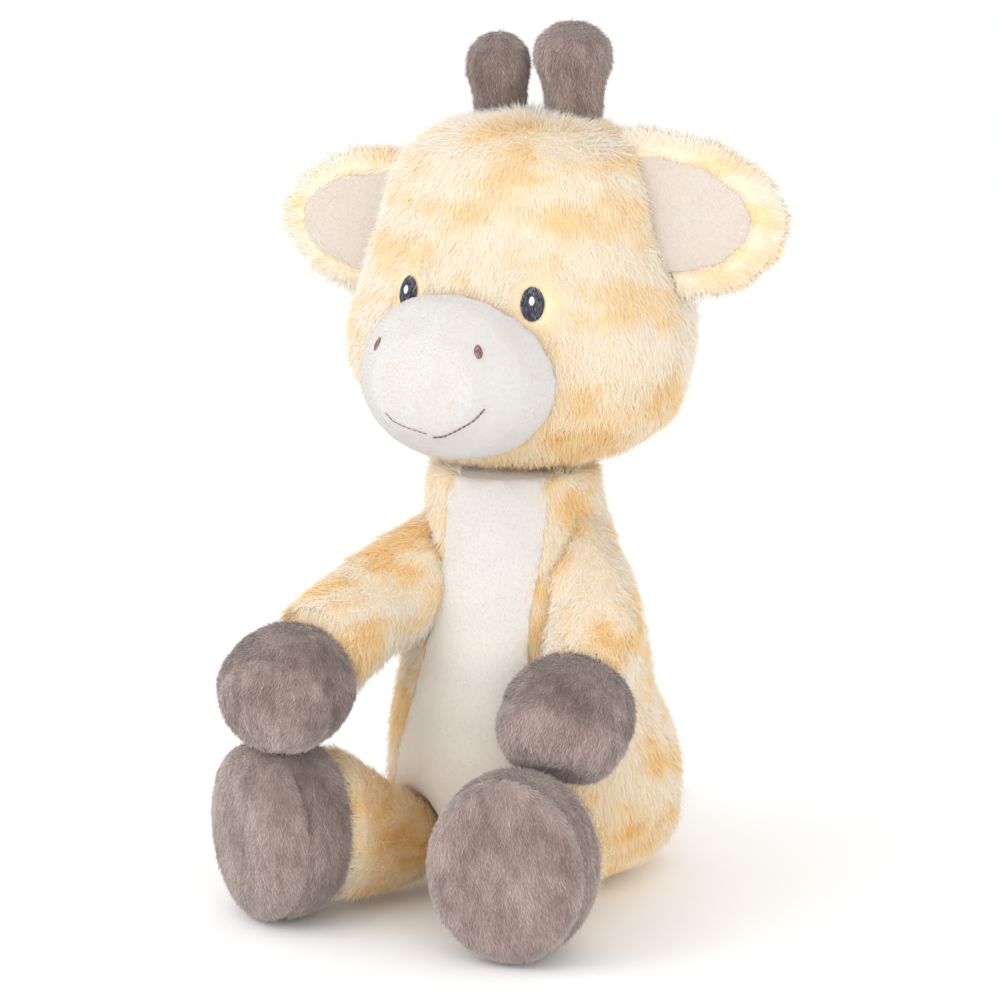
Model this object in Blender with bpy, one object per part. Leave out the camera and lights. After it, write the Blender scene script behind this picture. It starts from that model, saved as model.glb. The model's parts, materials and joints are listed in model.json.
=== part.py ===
"""Seated plush giraffe: sewn fur covers over stuffing, with velour panels and soft hooves."""

import math

import bmesh
import bpy
from mathutils import Matrix, Vector

# Sewing: what every panel shares
COVER = 0.0028
SEAM_GAP = 0.0003
FLAT_DEPTH = 0.0005
FILLING_GAP = 0.0009
MITT_GAP = 0.0010
OVERRUN = 0.020

# Body: a pear that sits on a flattened seat and leans forward to the neck
BODY_HEIGHT = 0.180
BODY_RADIUS = 0.064
BODY_LEAN = 0.013
BODY_WIDTH_SHARES = ((0.0, 0.93), (0.12, 0.97), (0.24, 1.0), (0.39, 0.95), (0.53, 0.86),
                     (0.67, 0.75), (0.81, 0.66), (0.92, 0.61), (1.0, 0.60))
BODY_LEAN_SHARES = (0.0, 0.0, 0.4, 0.85, 1.0)
SEAT_ROUNDING = 0.020
SEAT_SQUARENESS = 3.0

# Belly panel: velour strip let into the front of the body
PANEL_WIDTH = 0.042
PANEL_FOOT = 0.010
PANEL_WIDTH_SHARES = ((0.0, 0.85), (0.10, 1.30), (0.25, 1.45), (0.45, 1.22), (0.65, 1.04),
                      (0.85, 1.0), (1.0, 1.02))

# Pellet bag: weighted pouch in the bottom of the body
PELLET_HEIGHT = 0.038

# Head: wide cheeks, flatter crown
HEAD_HEIGHT = 0.153
HEAD_RADIUS = 0.075
HEAD_DEPTH_SHARE = 0.85
HEAD_BACK = 0.004
HEAD_SINK = 0.008
HEAD_WIDTH_SHARES = ((0.0, 0.68), (0.10, 0.77), (0.18, 0.85), (0.37, 0.965), (0.52, 0.965),
                     (0.70, 0.85), (0.87, 0.77), (1.0, 0.70))
HEAD_CHIN_ROUNDING = 0.027
HEAD_CROWN_ROUNDING = 0.030
HEAD_CROWN_SQUARENESS = 2.6

# Muzzle: velour snout sewn over the lower face
MUZZLE_WIDTH = 0.084
MUZZLE_HEIGHT = 0.071
MUZZLE_REACH = 0.035
MUZZLE_LENGTH = 0.064
MUZZLE_RISE = 0.0515
MUZZLE_WIDTH_SHARES = ((0.0, 0.97), (0.5, 1.0), (1.0, 0.94))
MUZZLE_TIP_SHARE = 1.25
MUZZLE_SQUARENESS = 2.3

# Embroidered eyes and nostrils
EYE_WIDTH = 0.0105
EYE_HEIGHT = 0.0145
EYE_THICKNESS = 0.0016
EYE_SPACING = 0.057
EYE_RISE = 0.0805
NOSTRIL_WIDTH = 0.0040
NOSTRIL_HEIGHT = 0.0060
NOSTRIL_THICKNESS = 0.0012
NOSTRIL_SPACING = 0.047
NOSTRIL_RISE = 0.067

# Ears: flat stuffed leaves with a velour lining
EAR_LENGTH = 0.054
EAR_HEIGHT = 0.075
EAR_THICKNESS = 0.020
EAR_SINK = 0.014
EAR_LEFT_RISE = 0.113
EAR_RIGHT_RISE = 0.104
EAR_BACK = -0.002
EAR_TILT = math.radians(26)
EAR_LIFT = math.radians(6)
EAR_SWEEP = math.radians(14)
EAR_BEND = math.radians(10)
EAR_WIDTH_SHARES = ((0.0, 0.80), (0.25, 0.96), (0.5, 1.0), (1.0, 0.96))
EAR_TIP_SHARE = 0.86
EAR_SQUARENESS = 2.15
LINING_LENGTH = 0.0375
LINING_HEIGHT = 0.0475
LINING_THICKNESS = 0.005
LINING_WIDTH_SHARES = ((0.0, 0.94), (0.35, 1.0), (1.0, 0.86))
LINING_ROOT_SHARE = 0.10
LINING_TIP_SHARE = 0.75
LINING_RAISE_SHARE = 0.4
LINING_ROOT_SQUARENESS = 2.3
LINING_TIP_SQUARENESS = 2.1

# Horns: stuffed stems with round knobs
HORN_LENGTH = 0.0355
HORN_STEM_RADIUS = 0.0105
HORN_KNOB_RADIUS = 0.0164
HORN_FLATNESS_SHARE = 0.86
HORN_SPACING = 0.034
HORN_BACK = 0.010
HORN_SINK = 0.012
HORN_SPREAD = math.radians(3)
HORN_BEND = math.radians(8)
HORN_STEM_SHARES = ((0.0, 1.08), (0.30, 1.0), (0.52, 1.12))
HORN_KNOB_SHARES = ((0.75, 1.0), (1.0, 0.98))
HORN_TIP_SHARE = 0.95

# Arms: from the shoulder forward to a hoof mitt
ARM_RADIUS = 0.0205
SHOULDER_DROP = 0.033
SHOULDER_INSET = 0.0115
SHOULDER_FORWARD = 0.003
HAND_RADIUS = 0.0285
HAND_LENGTH = 0.055
HAND_FLATNESS_SHARE = 0.92
HAND_WIDTH_SHARES = ((0.0, 0.92), (0.5, 1.0), (1.0, 1.0))
HAND_WRIST_SHARE = 0.45
HAND_TIP_SHARE = 0.5
HAND_WRIST_SQUARENESS = 2.5
HAND_TIP_SQUARENESS = 2.3
ARM_LIFT = math.radians(45)
ARM_LIFT_STEPS = 6
ARM_WIDTH_SHARES = ((0.0, 1.0), (0.25, 1.04), (0.6, 1.0), (1.0, 0.9))
LEFT_ARM_REACH = 0.088
LEFT_ARM_SHARES = ((0.0, 0.0, 0.0), (0.16, -0.205, -0.28), (0.228, -0.443, -0.48), (0.233, -0.693, -0.66))
RIGHT_ARM_REACH = 0.112
RIGHT_ARM_SHARES = ((0.0, 0.0, 0.0), (0.09, -0.268, -0.155), (0.17, -0.571, -0.30), (0.232, -0.866, -0.437))

# Legs: from the hip forward to a foot with a round sole
HIP_RADIUS = 0.022
HIP_SPACING = 0.070
HIP_FORWARD = 0.062
HIP_RISE = 0.0235
HIP_CLEARANCE = 0.0013
ANKLE_RADIUS = 0.031
FOOT_WIDTH = 0.068
FOOT_HEIGHT = 0.077
FOOT_LENGTH = 0.050
SOLE_THICKNESS = 0.011
LEG_SWELL_SHARES = ((0.0, 0.0), (0.34, 0.0), (0.70, 0.55), (1.0, 1.0))
ANKLE_INSET_SHARE = 0.3
FOOT_WIDTH_SHARES = ((0.0, 0.97), (0.4, 1.0), (1.0, 0.985))
FOOT_HEEL_SHARE = 0.42
FOOT_HEEL_SQUARENESS = 2.2
FOOT_TOE_SQUARENESS = 2.4
LEG_SPLAY = math.radians(15)
LEG_SPLAY_STEPS = 4
LEFT_LEG_REACH = 0.0450
LEFT_FOOT_TURN = math.radians(12)
RIGHT_LEG_REACH = 0.0510
RIGHT_FOOT_TURN = math.radians(31)

# Tail: short fur tube with a tuft, lying behind the seat
TAIL_RADIUS = 0.0065
TAIL_LENGTH = 0.050
TAIL_RISE = 0.030
TAIL_BEND_SHARE = 0.32
TAIL_REACH_SHARE = 0.80
TUFT_RADIUS = 0.0085
TUFT_LENGTH = 0.024
TUFT_WIDTH_SHARES = ((0.0, 0.8), (0.4, 1.0), (1.0, 0.8))
TUFT_ROOT_SHARE = 0.25
TUFT_TIP_SHARE = 0.5
TAIL_SWING = math.radians(20)
TAIL_TWIST = math.radians(10)

# Facets round each form and along it
SIDES_LARGE = 24
SIDES_WIDE = 20
SIDES_LIMB = 16
SIDES_SMALL = 12
SIDES_THREAD = 10
ROWS_LARGE = 10
ROWS_LONG = 7
ROWS_LIMB = 4
ROWS_SHORT = 3
ROWS_CAP = 3
ROUTE_STEPS = 24

UP = Vector((0.0, 0.0, 1.0))
FRONT = Vector((0.0, -1.0, 0.0))
LEFT = Vector((1.0, 0.0, 0.0))


def fabric(name, colour, roughness):
    """A matt cloth material."""
    material = bpy.data.materials.new(name)
    material.use_nodes = True
    shader = material.node_tree.nodes["Principled BSDF"]
    shader.inputs["Base Color"].default_value = (*colour, 1.0)
    shader.inputs["Roughness"].default_value = roughness
    shader.inputs["Metallic"].default_value = 0.0
    material.diffuse_color = (*colour, 1.0)
    return material


def between(pairs, share):
    """Read a smooth curve through (place, value) pairs."""
    places = [pair[0] for pair in pairs]
    values = [pair[1] for pair in pairs]
    share = min(max(share, places[0]), places[-1])
    last = len(pairs) - 1
    k = min(max(i for i in range(len(pairs)) if places[i] <= share), last - 1)
    span = places[k + 1] - places[k]
    t = (share - places[k]) / span
    before, after = max(k - 1, 0), min(k + 2, last)
    slope_in = (values[k + 1] - values[before]) / (places[k + 1] - places[before]) * span
    slope_out = (values[after] - values[k]) / (places[after] - places[k]) * span
    return ((2 * t**3 - 3 * t**2 + 1) * values[k] + (t**3 - 2 * t**2 + t) * slope_in
            + (3 * t**2 - 2 * t**3) * values[k + 1] + (t**3 - t**2) * slope_out)


def rounding(distance, depth, squareness):
    """Share of the full radius at a distance inside a rounded end."""
    if depth <= 0 or distance >= depth:
        return 1.0
    return max(0.0, 1.0 - (1.0 - distance / depth)**squareness)**(1.0 / squareness)


class Form:
    """A stuffed shape: a route, the half widths along it and how its two ends close."""

    def __init__(self, route, across, radius, shares=((0.0, 1.0), (1.0, 1.0)), flatness=1.0,
                 start=0.0, end=0.0, start_square=2.0, end_square=2.0, rows=ROWS_LIMB, sides=SIDES_LIMB,
                 level=False):
        self.route, self.across, self.radius, self.shares = route, across, radius, shares
        self.flatness, self.start, self.end = flatness, start, end
        self.start_square, self.end_square = start_square, end_square
        self.rows, self.sides, self.level = rows, sides, level
        self.length = sum((b - a).length for a, b in zip(self.fine(), self.fine()[1:]))

    def fine(self):
        return [self.at(i / ROUTE_STEPS) for i in range(ROUTE_STEPS + 1)]

    def at(self, share):
        count = len(self.route) - 1
        curves = [[(i / count, point[axis]) for i, point in enumerate(self.route)] for axis in range(3)]
        return Vector([between(curve, share) for curve in curves])

    def stations(self, grow, first, last):
        """Distances along the route, closer together in the rounded ends."""
        low, high = first, last
        marks = []
        if self.start and first <= 0.0:
            low = -grow + (self.start + grow)
            marks += [-grow + (self.start + grow) * (1 - math.cos(math.pi / 2 * i / ROWS_CAP))
                      for i in range(ROWS_CAP)]
        tail = []
        if self.end and last >= self.length:
            high = self.length - self.end
            tail = [self.length + grow - (self.end + grow) * (1 - math.cos(math.pi / 2 * i / ROWS_CAP))
                    for i in reversed(range(ROWS_CAP))]
        marks += [low + (high - low) * i / self.rows for i in range(self.rows + 1)]
        return marks + tail

    def ring(self, distance, grow):
        share = min(max(distance / self.length, 0.0), 1.0)
        step = 0.01
        ahead, behind = self.at(min(share + step, 1.0)), self.at(max(share - step, 0.0))
        tangent = UP if self.level else (ahead - behind).normalized()
        middle = self.at(share) + tangent * (distance - share * self.length)
        side = (self.across - tangent * self.across.dot(tangent)).normalized()
        deep = tangent.cross(side)
        radius = self.radius * between(self.shares, share) + grow
        start_depth = self.start + grow if self.start else 0.0
        end_depth = self.end + grow if self.end else 0.0
        closing = rounding(distance + grow, start_depth, self.start_square)
        closing *= rounding(self.length + grow - distance, end_depth, self.end_square)
        depth = self.radius * between(self.shares, share) * self.flatness + grow
        if closing * radius <= 1e-6:
            return [middle]
        turn = [2 * math.pi * i / self.sides for i in range(self.sides)]
        return [middle + side * (math.cos(a) * radius * closing) + deep * (math.sin(a) * depth * closing)
                for a in turn]

    def rings(self, grow=0.0, first=None, last=None):
        first = 0.0 if first is None else first
        last = self.length if last is None else last
        return [self.ring(mark, grow) for mark in self.stations(grow, first, last)]


def mesh_of_rings(rings):
    """Skin a row of rings; single points close an end, flat ends get a face."""
    mesh = bmesh.new()
    rows = [[mesh.verts.new(point) for point in ring] for ring in rings]
    for low, high in zip(rows, rows[1:]):
        count = max(len(low), len(high))
        for i in range(count):
            j = (i + 1) % count
            if len(low) == 1:
                mesh.faces.new((low[0], high[j], high[i]))
            elif len(high) == 1:
                mesh.faces.new((low[i], low[j], high[0]))
            else:
                mesh.faces.new((low[i], low[j], high[j], high[i]))
    for end in (rows[0], rows[-1]):
        if len(end) > 1:
            mesh.faces.new(end)
    bmesh.ops.recalc_face_normals(mesh, faces=mesh.faces)
    return mesh


def object_from(name, mesh, material=None):
    """Put a mesh in the scene as a named piece."""
    data = bpy.data.meshes.new(name)
    mesh.to_mesh(data)
    mesh.free()
    data.shade_smooth()
    piece = bpy.data.objects.new(name, data)
    bpy.context.scene.collection.objects.link(piece)
    if material:
        data.materials.append(material)
    return piece


def solid(name, form, material, grow=0.0, first=None, last=None):
    """The whole inside of a form."""
    return object_from(name, mesh_of_rings(form.rings(grow, first, last)), material)


def filled(name, form, material, first=None, last=None):
    """The filling inside a cover, with half as many facets round it."""
    full = form.rings(-COVER - FILLING_GAP, first, last)
    rings = [ring if len(ring) == 1 else ring[::2] for ring in full]
    return object_from(name, mesh_of_rings(rings), material)


def sleeve(name, form, material):
    """A sewn cover: the outside and the inside of a form, joined at its open end."""
    outside = form.rings()
    inside = form.rings(-COVER)
    return object_from(name, mesh_of_rings(outside + inside[::-1]), material)


def cutter(name, form, grow, first=None, last=None):
    """A form that only cuts its neighbours."""
    return hide(solid(name, form, None, grow, first, last))


def hide(piece):
    piece.hide_render = True
    piece.display_type = "WIRE"
    return piece


def cut(piece, tool, operation="DIFFERENCE"):
    """Cut one piece with another through an exact Boolean."""
    boolean = piece.modifiers.new("cut_" + tool.name, "BOOLEAN")
    boolean.operation = operation
    boolean.solver = "EXACT"
    boolean.object = tool


def block(name, low, high):
    """A box between two corners that only cuts."""
    mesh = bmesh.new()
    bmesh.ops.create_cube(mesh, size=1.0)
    place = Matrix.Translation((low + high) / 2) @ Matrix.Diagonal((*(high - low), 1.0))
    bmesh.ops.transform(mesh, matrix=place, verts=mesh.verts)
    return hide(object_from(name, mesh))


def turned_copy(tool, pivot, axis, angle):
    """The same cutter where a moving piece meets it after turning by an angle."""
    copy = tool.copy()
    bpy.context.scene.collection.objects.link(copy)
    copy.matrix_world = (Matrix.Translation(pivot) @ Matrix.Rotation(-angle, 4, axis)
                         @ Matrix.Translation(-pivot) @ tool.matrix_world)
    return copy


def cut_through_swing(pieces, tool, pivot, axis, angles):
    """Clear moving pieces of their neighbour at rest and through their whole swing, in one cut."""
    swept = bpy.data.collections.new("swept_" + tool.name)
    for angle in angles:
        swept.objects.link(turned_copy(tool, pivot, axis, angle) if angle else tool)
    for piece in pieces:
        boolean = piece.modifiers.new(swept.name, "BOOLEAN")
        boolean.operation = "DIFFERENCE"
        boolean.solver = "EXACT"
        boolean.operand_type = "COLLECTION"
        boolean.collection = swept


def hang_on(name, pivot, pieces):
    """An empty on a joint's axis that carries the pieces that move together."""
    empty = bpy.data.objects.new(name, None)
    empty.empty_display_size = COVER
    empty.location = pivot
    bpy.context.scene.collection.objects.link(empty)
    for piece in pieces:
        piece.parent = empty
        piece.matrix_parent_inverse = Matrix.Translation(-pivot)


def mirrored(side, vector):
    """The same place or direction on the toy's left (1) or right (-1)."""
    return Vector((side * vector.x, vector.y, vector.z))


def body_form():
    step = (BODY_HEIGHT + FLAT_DEPTH) / (len(BODY_LEAN_SHARES) - 1)
    points = [Vector((0.0, -BODY_LEAN * share, step * i - FLAT_DEPTH))
              for i, share in enumerate(BODY_LEAN_SHARES)]
    return Form(points, LEFT, BODY_RADIUS, BODY_WIDTH_SHARES, start=SEAT_ROUNDING,
                start_square=SEAT_SQUARENESS, rows=ROWS_LARGE, sides=SIDES_LARGE, level=True)


def head_form():
    base = Vector((0.0, HEAD_BACK - BODY_LEAN, BODY_HEIGHT - HEAD_SINK))
    return Form([base, base + UP * HEAD_HEIGHT], LEFT, HEAD_RADIUS, HEAD_WIDTH_SHARES, HEAD_DEPTH_SHARE,
                HEAD_CHIN_ROUNDING, HEAD_CROWN_ROUNDING, end_square=HEAD_CROWN_SQUARENESS,
                rows=ROWS_LARGE // 2, sides=SIDES_LARGE, level=True)


def on_front(form, across, rise):
    """A point of an upright form's front, off centre and at a height, and its normal."""
    share = rise / form.length
    width = form.radius * between(form.shares, share)
    depth = width * form.flatness
    forward = depth * math.sqrt(1.0 - (across / width)**2)
    centre = form.at(share)
    point = Vector((across, centre.y - forward, centre.z))
    normal = Vector((across / width**2, -forward / depth**2, 0.0)).normalized()
    return point, normal


def panel_outline(name, inset):
    """The belly panel's outline, drawn through the front wall of the body."""
    mesh = bmesh.new()
    top, foot = BODY_HEIGHT + OVERRUN, PANEL_FOOT + inset
    marks = [foot + (BODY_HEIGHT - foot) * i / ROWS_LARGE for i in range(ROWS_LARGE + 1)] + [top]
    rim = []
    for mark in marks:
        share = (min(mark, BODY_HEIGHT) - foot) / (BODY_HEIGHT - foot)
        rim.append((PANEL_WIDTH / 2 * between(PANEL_WIDTH_SHARES, share) - inset, mark))
    outline = rim + [(-half, mark) for half, mark in reversed(rim)]
    back = [mesh.verts.new((x, -BODY_LEAN - COVER, z)) for x, z in outline]
    face = mesh.faces.new(back)
    forward = bmesh.ops.extrude_face_region(mesh, geom=[face])
    moved = [item for item in forward["geom"] if isinstance(item, bmesh.types.BMVert)]
    bmesh.ops.translate(mesh, verts=moved, vec=FRONT * (BODY_RADIUS + OVERRUN))
    bmesh.ops.recalc_face_normals(mesh, faces=mesh.faces)
    return hide(object_from(name, mesh))


def make_body(fur, velour, filling, linen, hips):
    """Fur cover with hip openings, velour belly panel, stuffing and pellet bag."""
    form = body_form()
    floor = block("below_the_seat", Vector((-BODY_RADIUS * 2, -BODY_RADIUS * 3, -OVERRUN)),
                  Vector((BODY_RADIUS * 2, BODY_RADIUS * 2, 0.0)))
    cover = sleeve("body_cover", form, fur)
    panel = sleeve("belly_panel", form, velour)
    cut(cover, panel_outline("panel_opening", 0.0))
    cut(panel, panel_outline("panel_outline", SEAM_GAP), "INTERSECT")
    stuffing = filled("body_stuffing", form, filling, PELLET_HEIGHT + SEAM_GAP)
    pellets = filled("pellet_bag", form, linen, None, PELLET_HEIGHT)
    for piece in (cover, panel, stuffing, pellets):
        for hip in hips:
            cut(piece, hip)
    cut(cover, floor)
    return cutter("body_limit", form, SEAM_GAP), floor


def ball(name, centre, radius):
    """A round cutter."""
    mesh = bmesh.new()
    bmesh.ops.create_uvsphere(mesh, u_segments=SIDES_LIMB, v_segments=SIDES_LIMB // 2, radius=radius)
    bmesh.ops.translate(mesh, verts=mesh.verts, vec=centre)
    return hide(object_from(name, mesh))


def oval(name, point, normal, width, height, thickness, material=None):
    """A flat domed oval that lies on a surface, such as an embroidered eye."""
    mesh = bmesh.new()
    bmesh.ops.create_uvsphere(mesh, u_segments=SIDES_THREAD, v_segments=SIDES_THREAD // 2, radius=0.5)
    bmesh.ops.scale(mesh, verts=mesh.verts, vec=(width, height, thickness))
    turn = normal.to_track_quat("Z", "Y").to_matrix().to_4x4()
    bmesh.ops.transform(mesh, matrix=Matrix.Translation(point) @ turn, verts=mesh.verts)
    piece = object_from(name, mesh, material)
    return piece if material else hide(piece)


def make_head(fur, velour, filling, thread):
    """Head cover open at the neck, its stuffing, the muzzle and the embroidered face."""
    form = head_form()
    centre = form.at(0.0)
    neck = body_form().ring(body_form().length, 0.0)
    neck_radius = max((point - Vector((0.0, point.y, point.z))).length for point in neck)
    neck_end = Vector((0.0, -BODY_LEAN, BODY_HEIGHT + SEAM_GAP))
    socket = Form([neck_end - UP * OVERRUN, neck_end], LEFT,
                  neck_radius + SEAM_GAP * 2, sides=SIDES_LARGE, rows=1)
    opening = cutter("neck_opening", socket, 0.0)
    cover = sleeve_closed("head_cover", form, fur)
    cut(cover, opening)
    stuffing = filled("head_stuffing", form, filling)
    cut(stuffing, opening)
    limit = cutter("head_limit", form, SEAM_GAP)
    muzzle_base = Vector((0.0, centre.y, centre.z + MUZZLE_RISE))
    reach = HEAD_RADIUS * HEAD_DEPTH_SHARE + MUZZLE_REACH
    start = muzzle_base + FRONT * (reach - MUZZLE_LENGTH)
    snout = Form([start, muzzle_base + FRONT * reach], LEFT, MUZZLE_WIDTH / 2, MUZZLE_WIDTH_SHARES,
                 MUZZLE_HEIGHT / MUZZLE_WIDTH, end=MUZZLE_REACH * MUZZLE_TIP_SHARE,
                 end_square=MUZZLE_SQUARENESS, rows=ROWS_SHORT, sides=SIDES_WIDE)
    muzzle = solid("muzzle", snout, velour)
    cut(muzzle, limit)
    pieces = [cover, stuffing, muzzle]
    for side, word in ((1, "left"), (-1, "right")):
        point, normal = on_front(form, side * EYE_SPACING / 2, EYE_RISE)
        place = (point, normal, EYE_WIDTH, EYE_HEIGHT, EYE_THICKNESS)
        pieces.append(oval(f"eye_{word}", *place, thread))
        grown = [size + SEAM_GAP * 2 for size in place[2:]]
        seat = oval(f"eye_seat_{word}", point, normal, *grown)
        for piece in (cover, muzzle):
            cut(piece, seat)
        point, normal = nostril_place(snout, side)
        place = (point, normal, NOSTRIL_WIDTH, NOSTRIL_HEIGHT, NOSTRIL_THICKNESS)
        pieces.append(oval(f"nostril_{word}", *place, thread))
        grown = [size + SEAM_GAP * 2 for size in place[2:]]
        cut(muzzle, oval(f"nostril_seat_{word}", point, normal, *grown))
    return form, limit, pieces


def nostril_place(snout, side):
    """Where a nostril lies on the rounded front of the muzzle, and its normal."""
    half_width, half_height = MUZZLE_WIDTH / 2, MUZZLE_HEIGHT / 2
    across, up = side * NOSTRIL_SPACING / 2, NOSTRIL_RISE - MUZZLE_RISE
    radial = math.hypot(across / half_width, up / half_height)
    low, high = 0.0, snout.end
    for _ in range(30):
        middle = (low + high) / 2
        share = (snout.length - middle) / snout.length
        size = between(snout.shares, share) * rounding(middle, snout.end, snout.end_square)
        low, high = (low, middle) if size > radial else (middle, high)
    tip = snout.at(1.0)
    point = Vector((across, tip.y + low, tip.z + up))
    step = snout.end / 20
    rise = rounding(low + step, snout.end, snout.end_square) - rounding(low, snout.end, snout.end_square)
    slope = between(snout.shares, 1.0) * rise / step
    outward = Vector((across / half_width**2, 0.0, up / half_height**2)) / radial
    return point, (outward + FRONT * slope).normalized()


def sleeve_closed(name, form, material):
    """A cover closed at both ends: its inside is taken out of its outside."""
    cover = solid(name, form, material)
    cut(cover, cutter(name + "_hollow", form, -COVER))
    return cover


def make_ear(side, head, head_limit, fur, velour):
    """A fur leaf with a velour lining, cut to lie on the side of the head."""
    word = "left" if side > 0 else "right"
    share = (EAR_LEFT_RISE if side > 0 else EAR_RIGHT_RISE) / head.length
    reach = head.radius * between(head.shares, share)
    centre = head.at(share)
    root = Vector((side * reach, centre.y + EAR_BACK, centre.z))
    level = math.cos(EAR_LIFT)
    out = Vector((level * math.cos(EAR_SWEEP), level * math.sin(EAR_SWEEP), math.sin(EAR_LIFT)))
    out = mirrored(side, out)
    tall = mirrored(side, Vector((-math.sin(EAR_TILT), 0.0, math.cos(EAR_TILT))))
    leaf = Form([root - out * EAR_SINK, root + out * EAR_LENGTH], tall, EAR_HEIGHT / 2,
                EAR_WIDTH_SHARES, EAR_THICKNESS / EAR_HEIGHT, end=EAR_LENGTH * EAR_TIP_SHARE,
                end_square=EAR_SQUARENESS, rows=ROWS_SHORT, sides=SIDES_LIMB)
    ear = solid(f"ear_{word}", leaf, fur)
    front = out.cross(tall).normalized()
    front = front if front.y < 0 else -front
    offset = front * (EAR_THICKNESS / 2 - LINING_THICKNESS * LINING_RAISE_SHARE)
    near = root + offset
    pad = Form([near, near + out * LINING_LENGTH], tall, LINING_HEIGHT / 2, LINING_WIDTH_SHARES,
               LINING_THICKNESS / LINING_HEIGHT, start=LINING_LENGTH * LINING_ROOT_SHARE,
               end=LINING_LENGTH * LINING_TIP_SHARE, start_square=LINING_ROOT_SQUARENESS,
               end_square=LINING_TIP_SQUARENESS, rows=1, sides=SIDES_LIMB)
    lining = solid(f"ear_lining_{word}", pad, velour)
    cut(ear, cutter(f"lining_seat_{word}", pad, SEAM_GAP))
    cut_through_swing((ear, lining), head_limit, root, tall, (0.0, -EAR_BEND, EAR_BEND))
    hang_on(f"ear_{word}_seam", root, (ear, lining))


def make_horn(side, head, head_limit, velboa):
    """A stuffed stem with a round knob, sewn on the crown."""
    word = "left" if side > 0 else "right"
    crown = head.at(1.0)
    foot = Vector((side * HORN_SPACING / 2, crown.y + HORN_BACK, crown.z))
    lean = Vector((side * math.sin(HORN_SPREAD), 0.0, math.cos(HORN_SPREAD)))
    stem = HORN_STEM_RADIUS / HORN_KNOB_RADIUS
    widths = [(place, share * stem) for place, share in HORN_STEM_SHARES] + list(HORN_KNOB_SHARES)
    shape = Form([foot - lean * HORN_SINK, foot + lean * HORN_LENGTH], LEFT, HORN_KNOB_RADIUS, widths,
                 HORN_FLATNESS_SHARE, end=HORN_KNOB_RADIUS * HORN_TIP_SHARE, rows=ROWS_LONG,
                 sides=SIDES_SMALL)
    horn = solid(f"horn_{word}", shape, velboa)
    cut_through_swing((horn,), head_limit, foot, LEFT, (0.0, -HORN_BEND, HORN_BEND))
    hang_on(f"horn_{word}_seam", foot, (horn,))


def make_arm(side, body_limit, leg_limits, fur, filling, velboa):
    """Arm cover and stuffing, cut to lie on the body, with a hoof mitt at the wrist."""
    word = "left" if side > 0 else "right"
    body = body_form()
    rise = BODY_HEIGHT - SHOULDER_DROP
    share = rise / body.length
    width = body.radius * between(body.shares, share)
    shoulder = Vector((side * (width - SHOULDER_INSET), body.at(share).y - SHOULDER_FORWARD, rise))
    shares = LEFT_ARM_SHARES if side > 0 else RIGHT_ARM_SHARES
    reach = LEFT_ARM_REACH if side > 0 else RIGHT_ARM_REACH
    route = [shoulder + mirrored(side, Vector(step) * reach) for step in shares]
    first = (route[1] - route[0]).normalized()
    limb = Form([route[0] - first * ARM_RADIUS] + route, LEFT, ARM_RADIUS, ARM_WIDTH_SHARES,
                start=ARM_RADIUS, rows=ROWS_LONG)
    hand = hand_form(side, route)
    cover = sleeve(f"arm_{word}", limb, fur)
    stuffing = filled(f"arm_stuffing_{word}", limb, filling)
    mitt = solid(f"hand_hoof_{word}", hand, velboa)
    mitt_limit = cutter(f"hand_limit_{word}", hand, SEAM_GAP)
    for piece in (cover, stuffing):
        cut(piece, mitt_limit)
    splays = [-side * LEG_SPLAY * i / LEG_SPLAY_STEPS for i in range(LEG_SPLAY_STEPS + 1)]
    for limit in leg_limits:
        cut_through_swing((mitt,), limit, hip_place(side), UP, splays)
    lifts = [-ARM_LIFT * i / ARM_LIFT_STEPS for i in range(ARM_LIFT_STEPS + 1)]
    cut_through_swing((cover, stuffing, mitt), body_limit, shoulder, LEFT, lifts)
    hang_on(f"shoulder_{word}", shoulder, (cover, stuffing, mitt))


def hand_form(side, route):
    """The mitt: an egg that starts behind the wrist and ends in a round tip."""
    end = route[-1]
    along = (route[-1] - route[-2]).normalized()
    half = along * HAND_LENGTH / 2
    return Form([end - half, end + half], LEFT, HAND_RADIUS, HAND_WIDTH_SHARES, HAND_FLATNESS_SHARE,
                start=HAND_LENGTH * HAND_WRIST_SHARE, end=HAND_LENGTH * HAND_TIP_SHARE,
                start_square=HAND_WRIST_SQUARENESS, end_square=HAND_TIP_SQUARENESS, rows=1,
                sides=SIDES_LIMB)


def hip_place(side):
    return Vector((side * HIP_SPACING / 2, -HIP_FORWARD, HIP_RISE))


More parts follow.
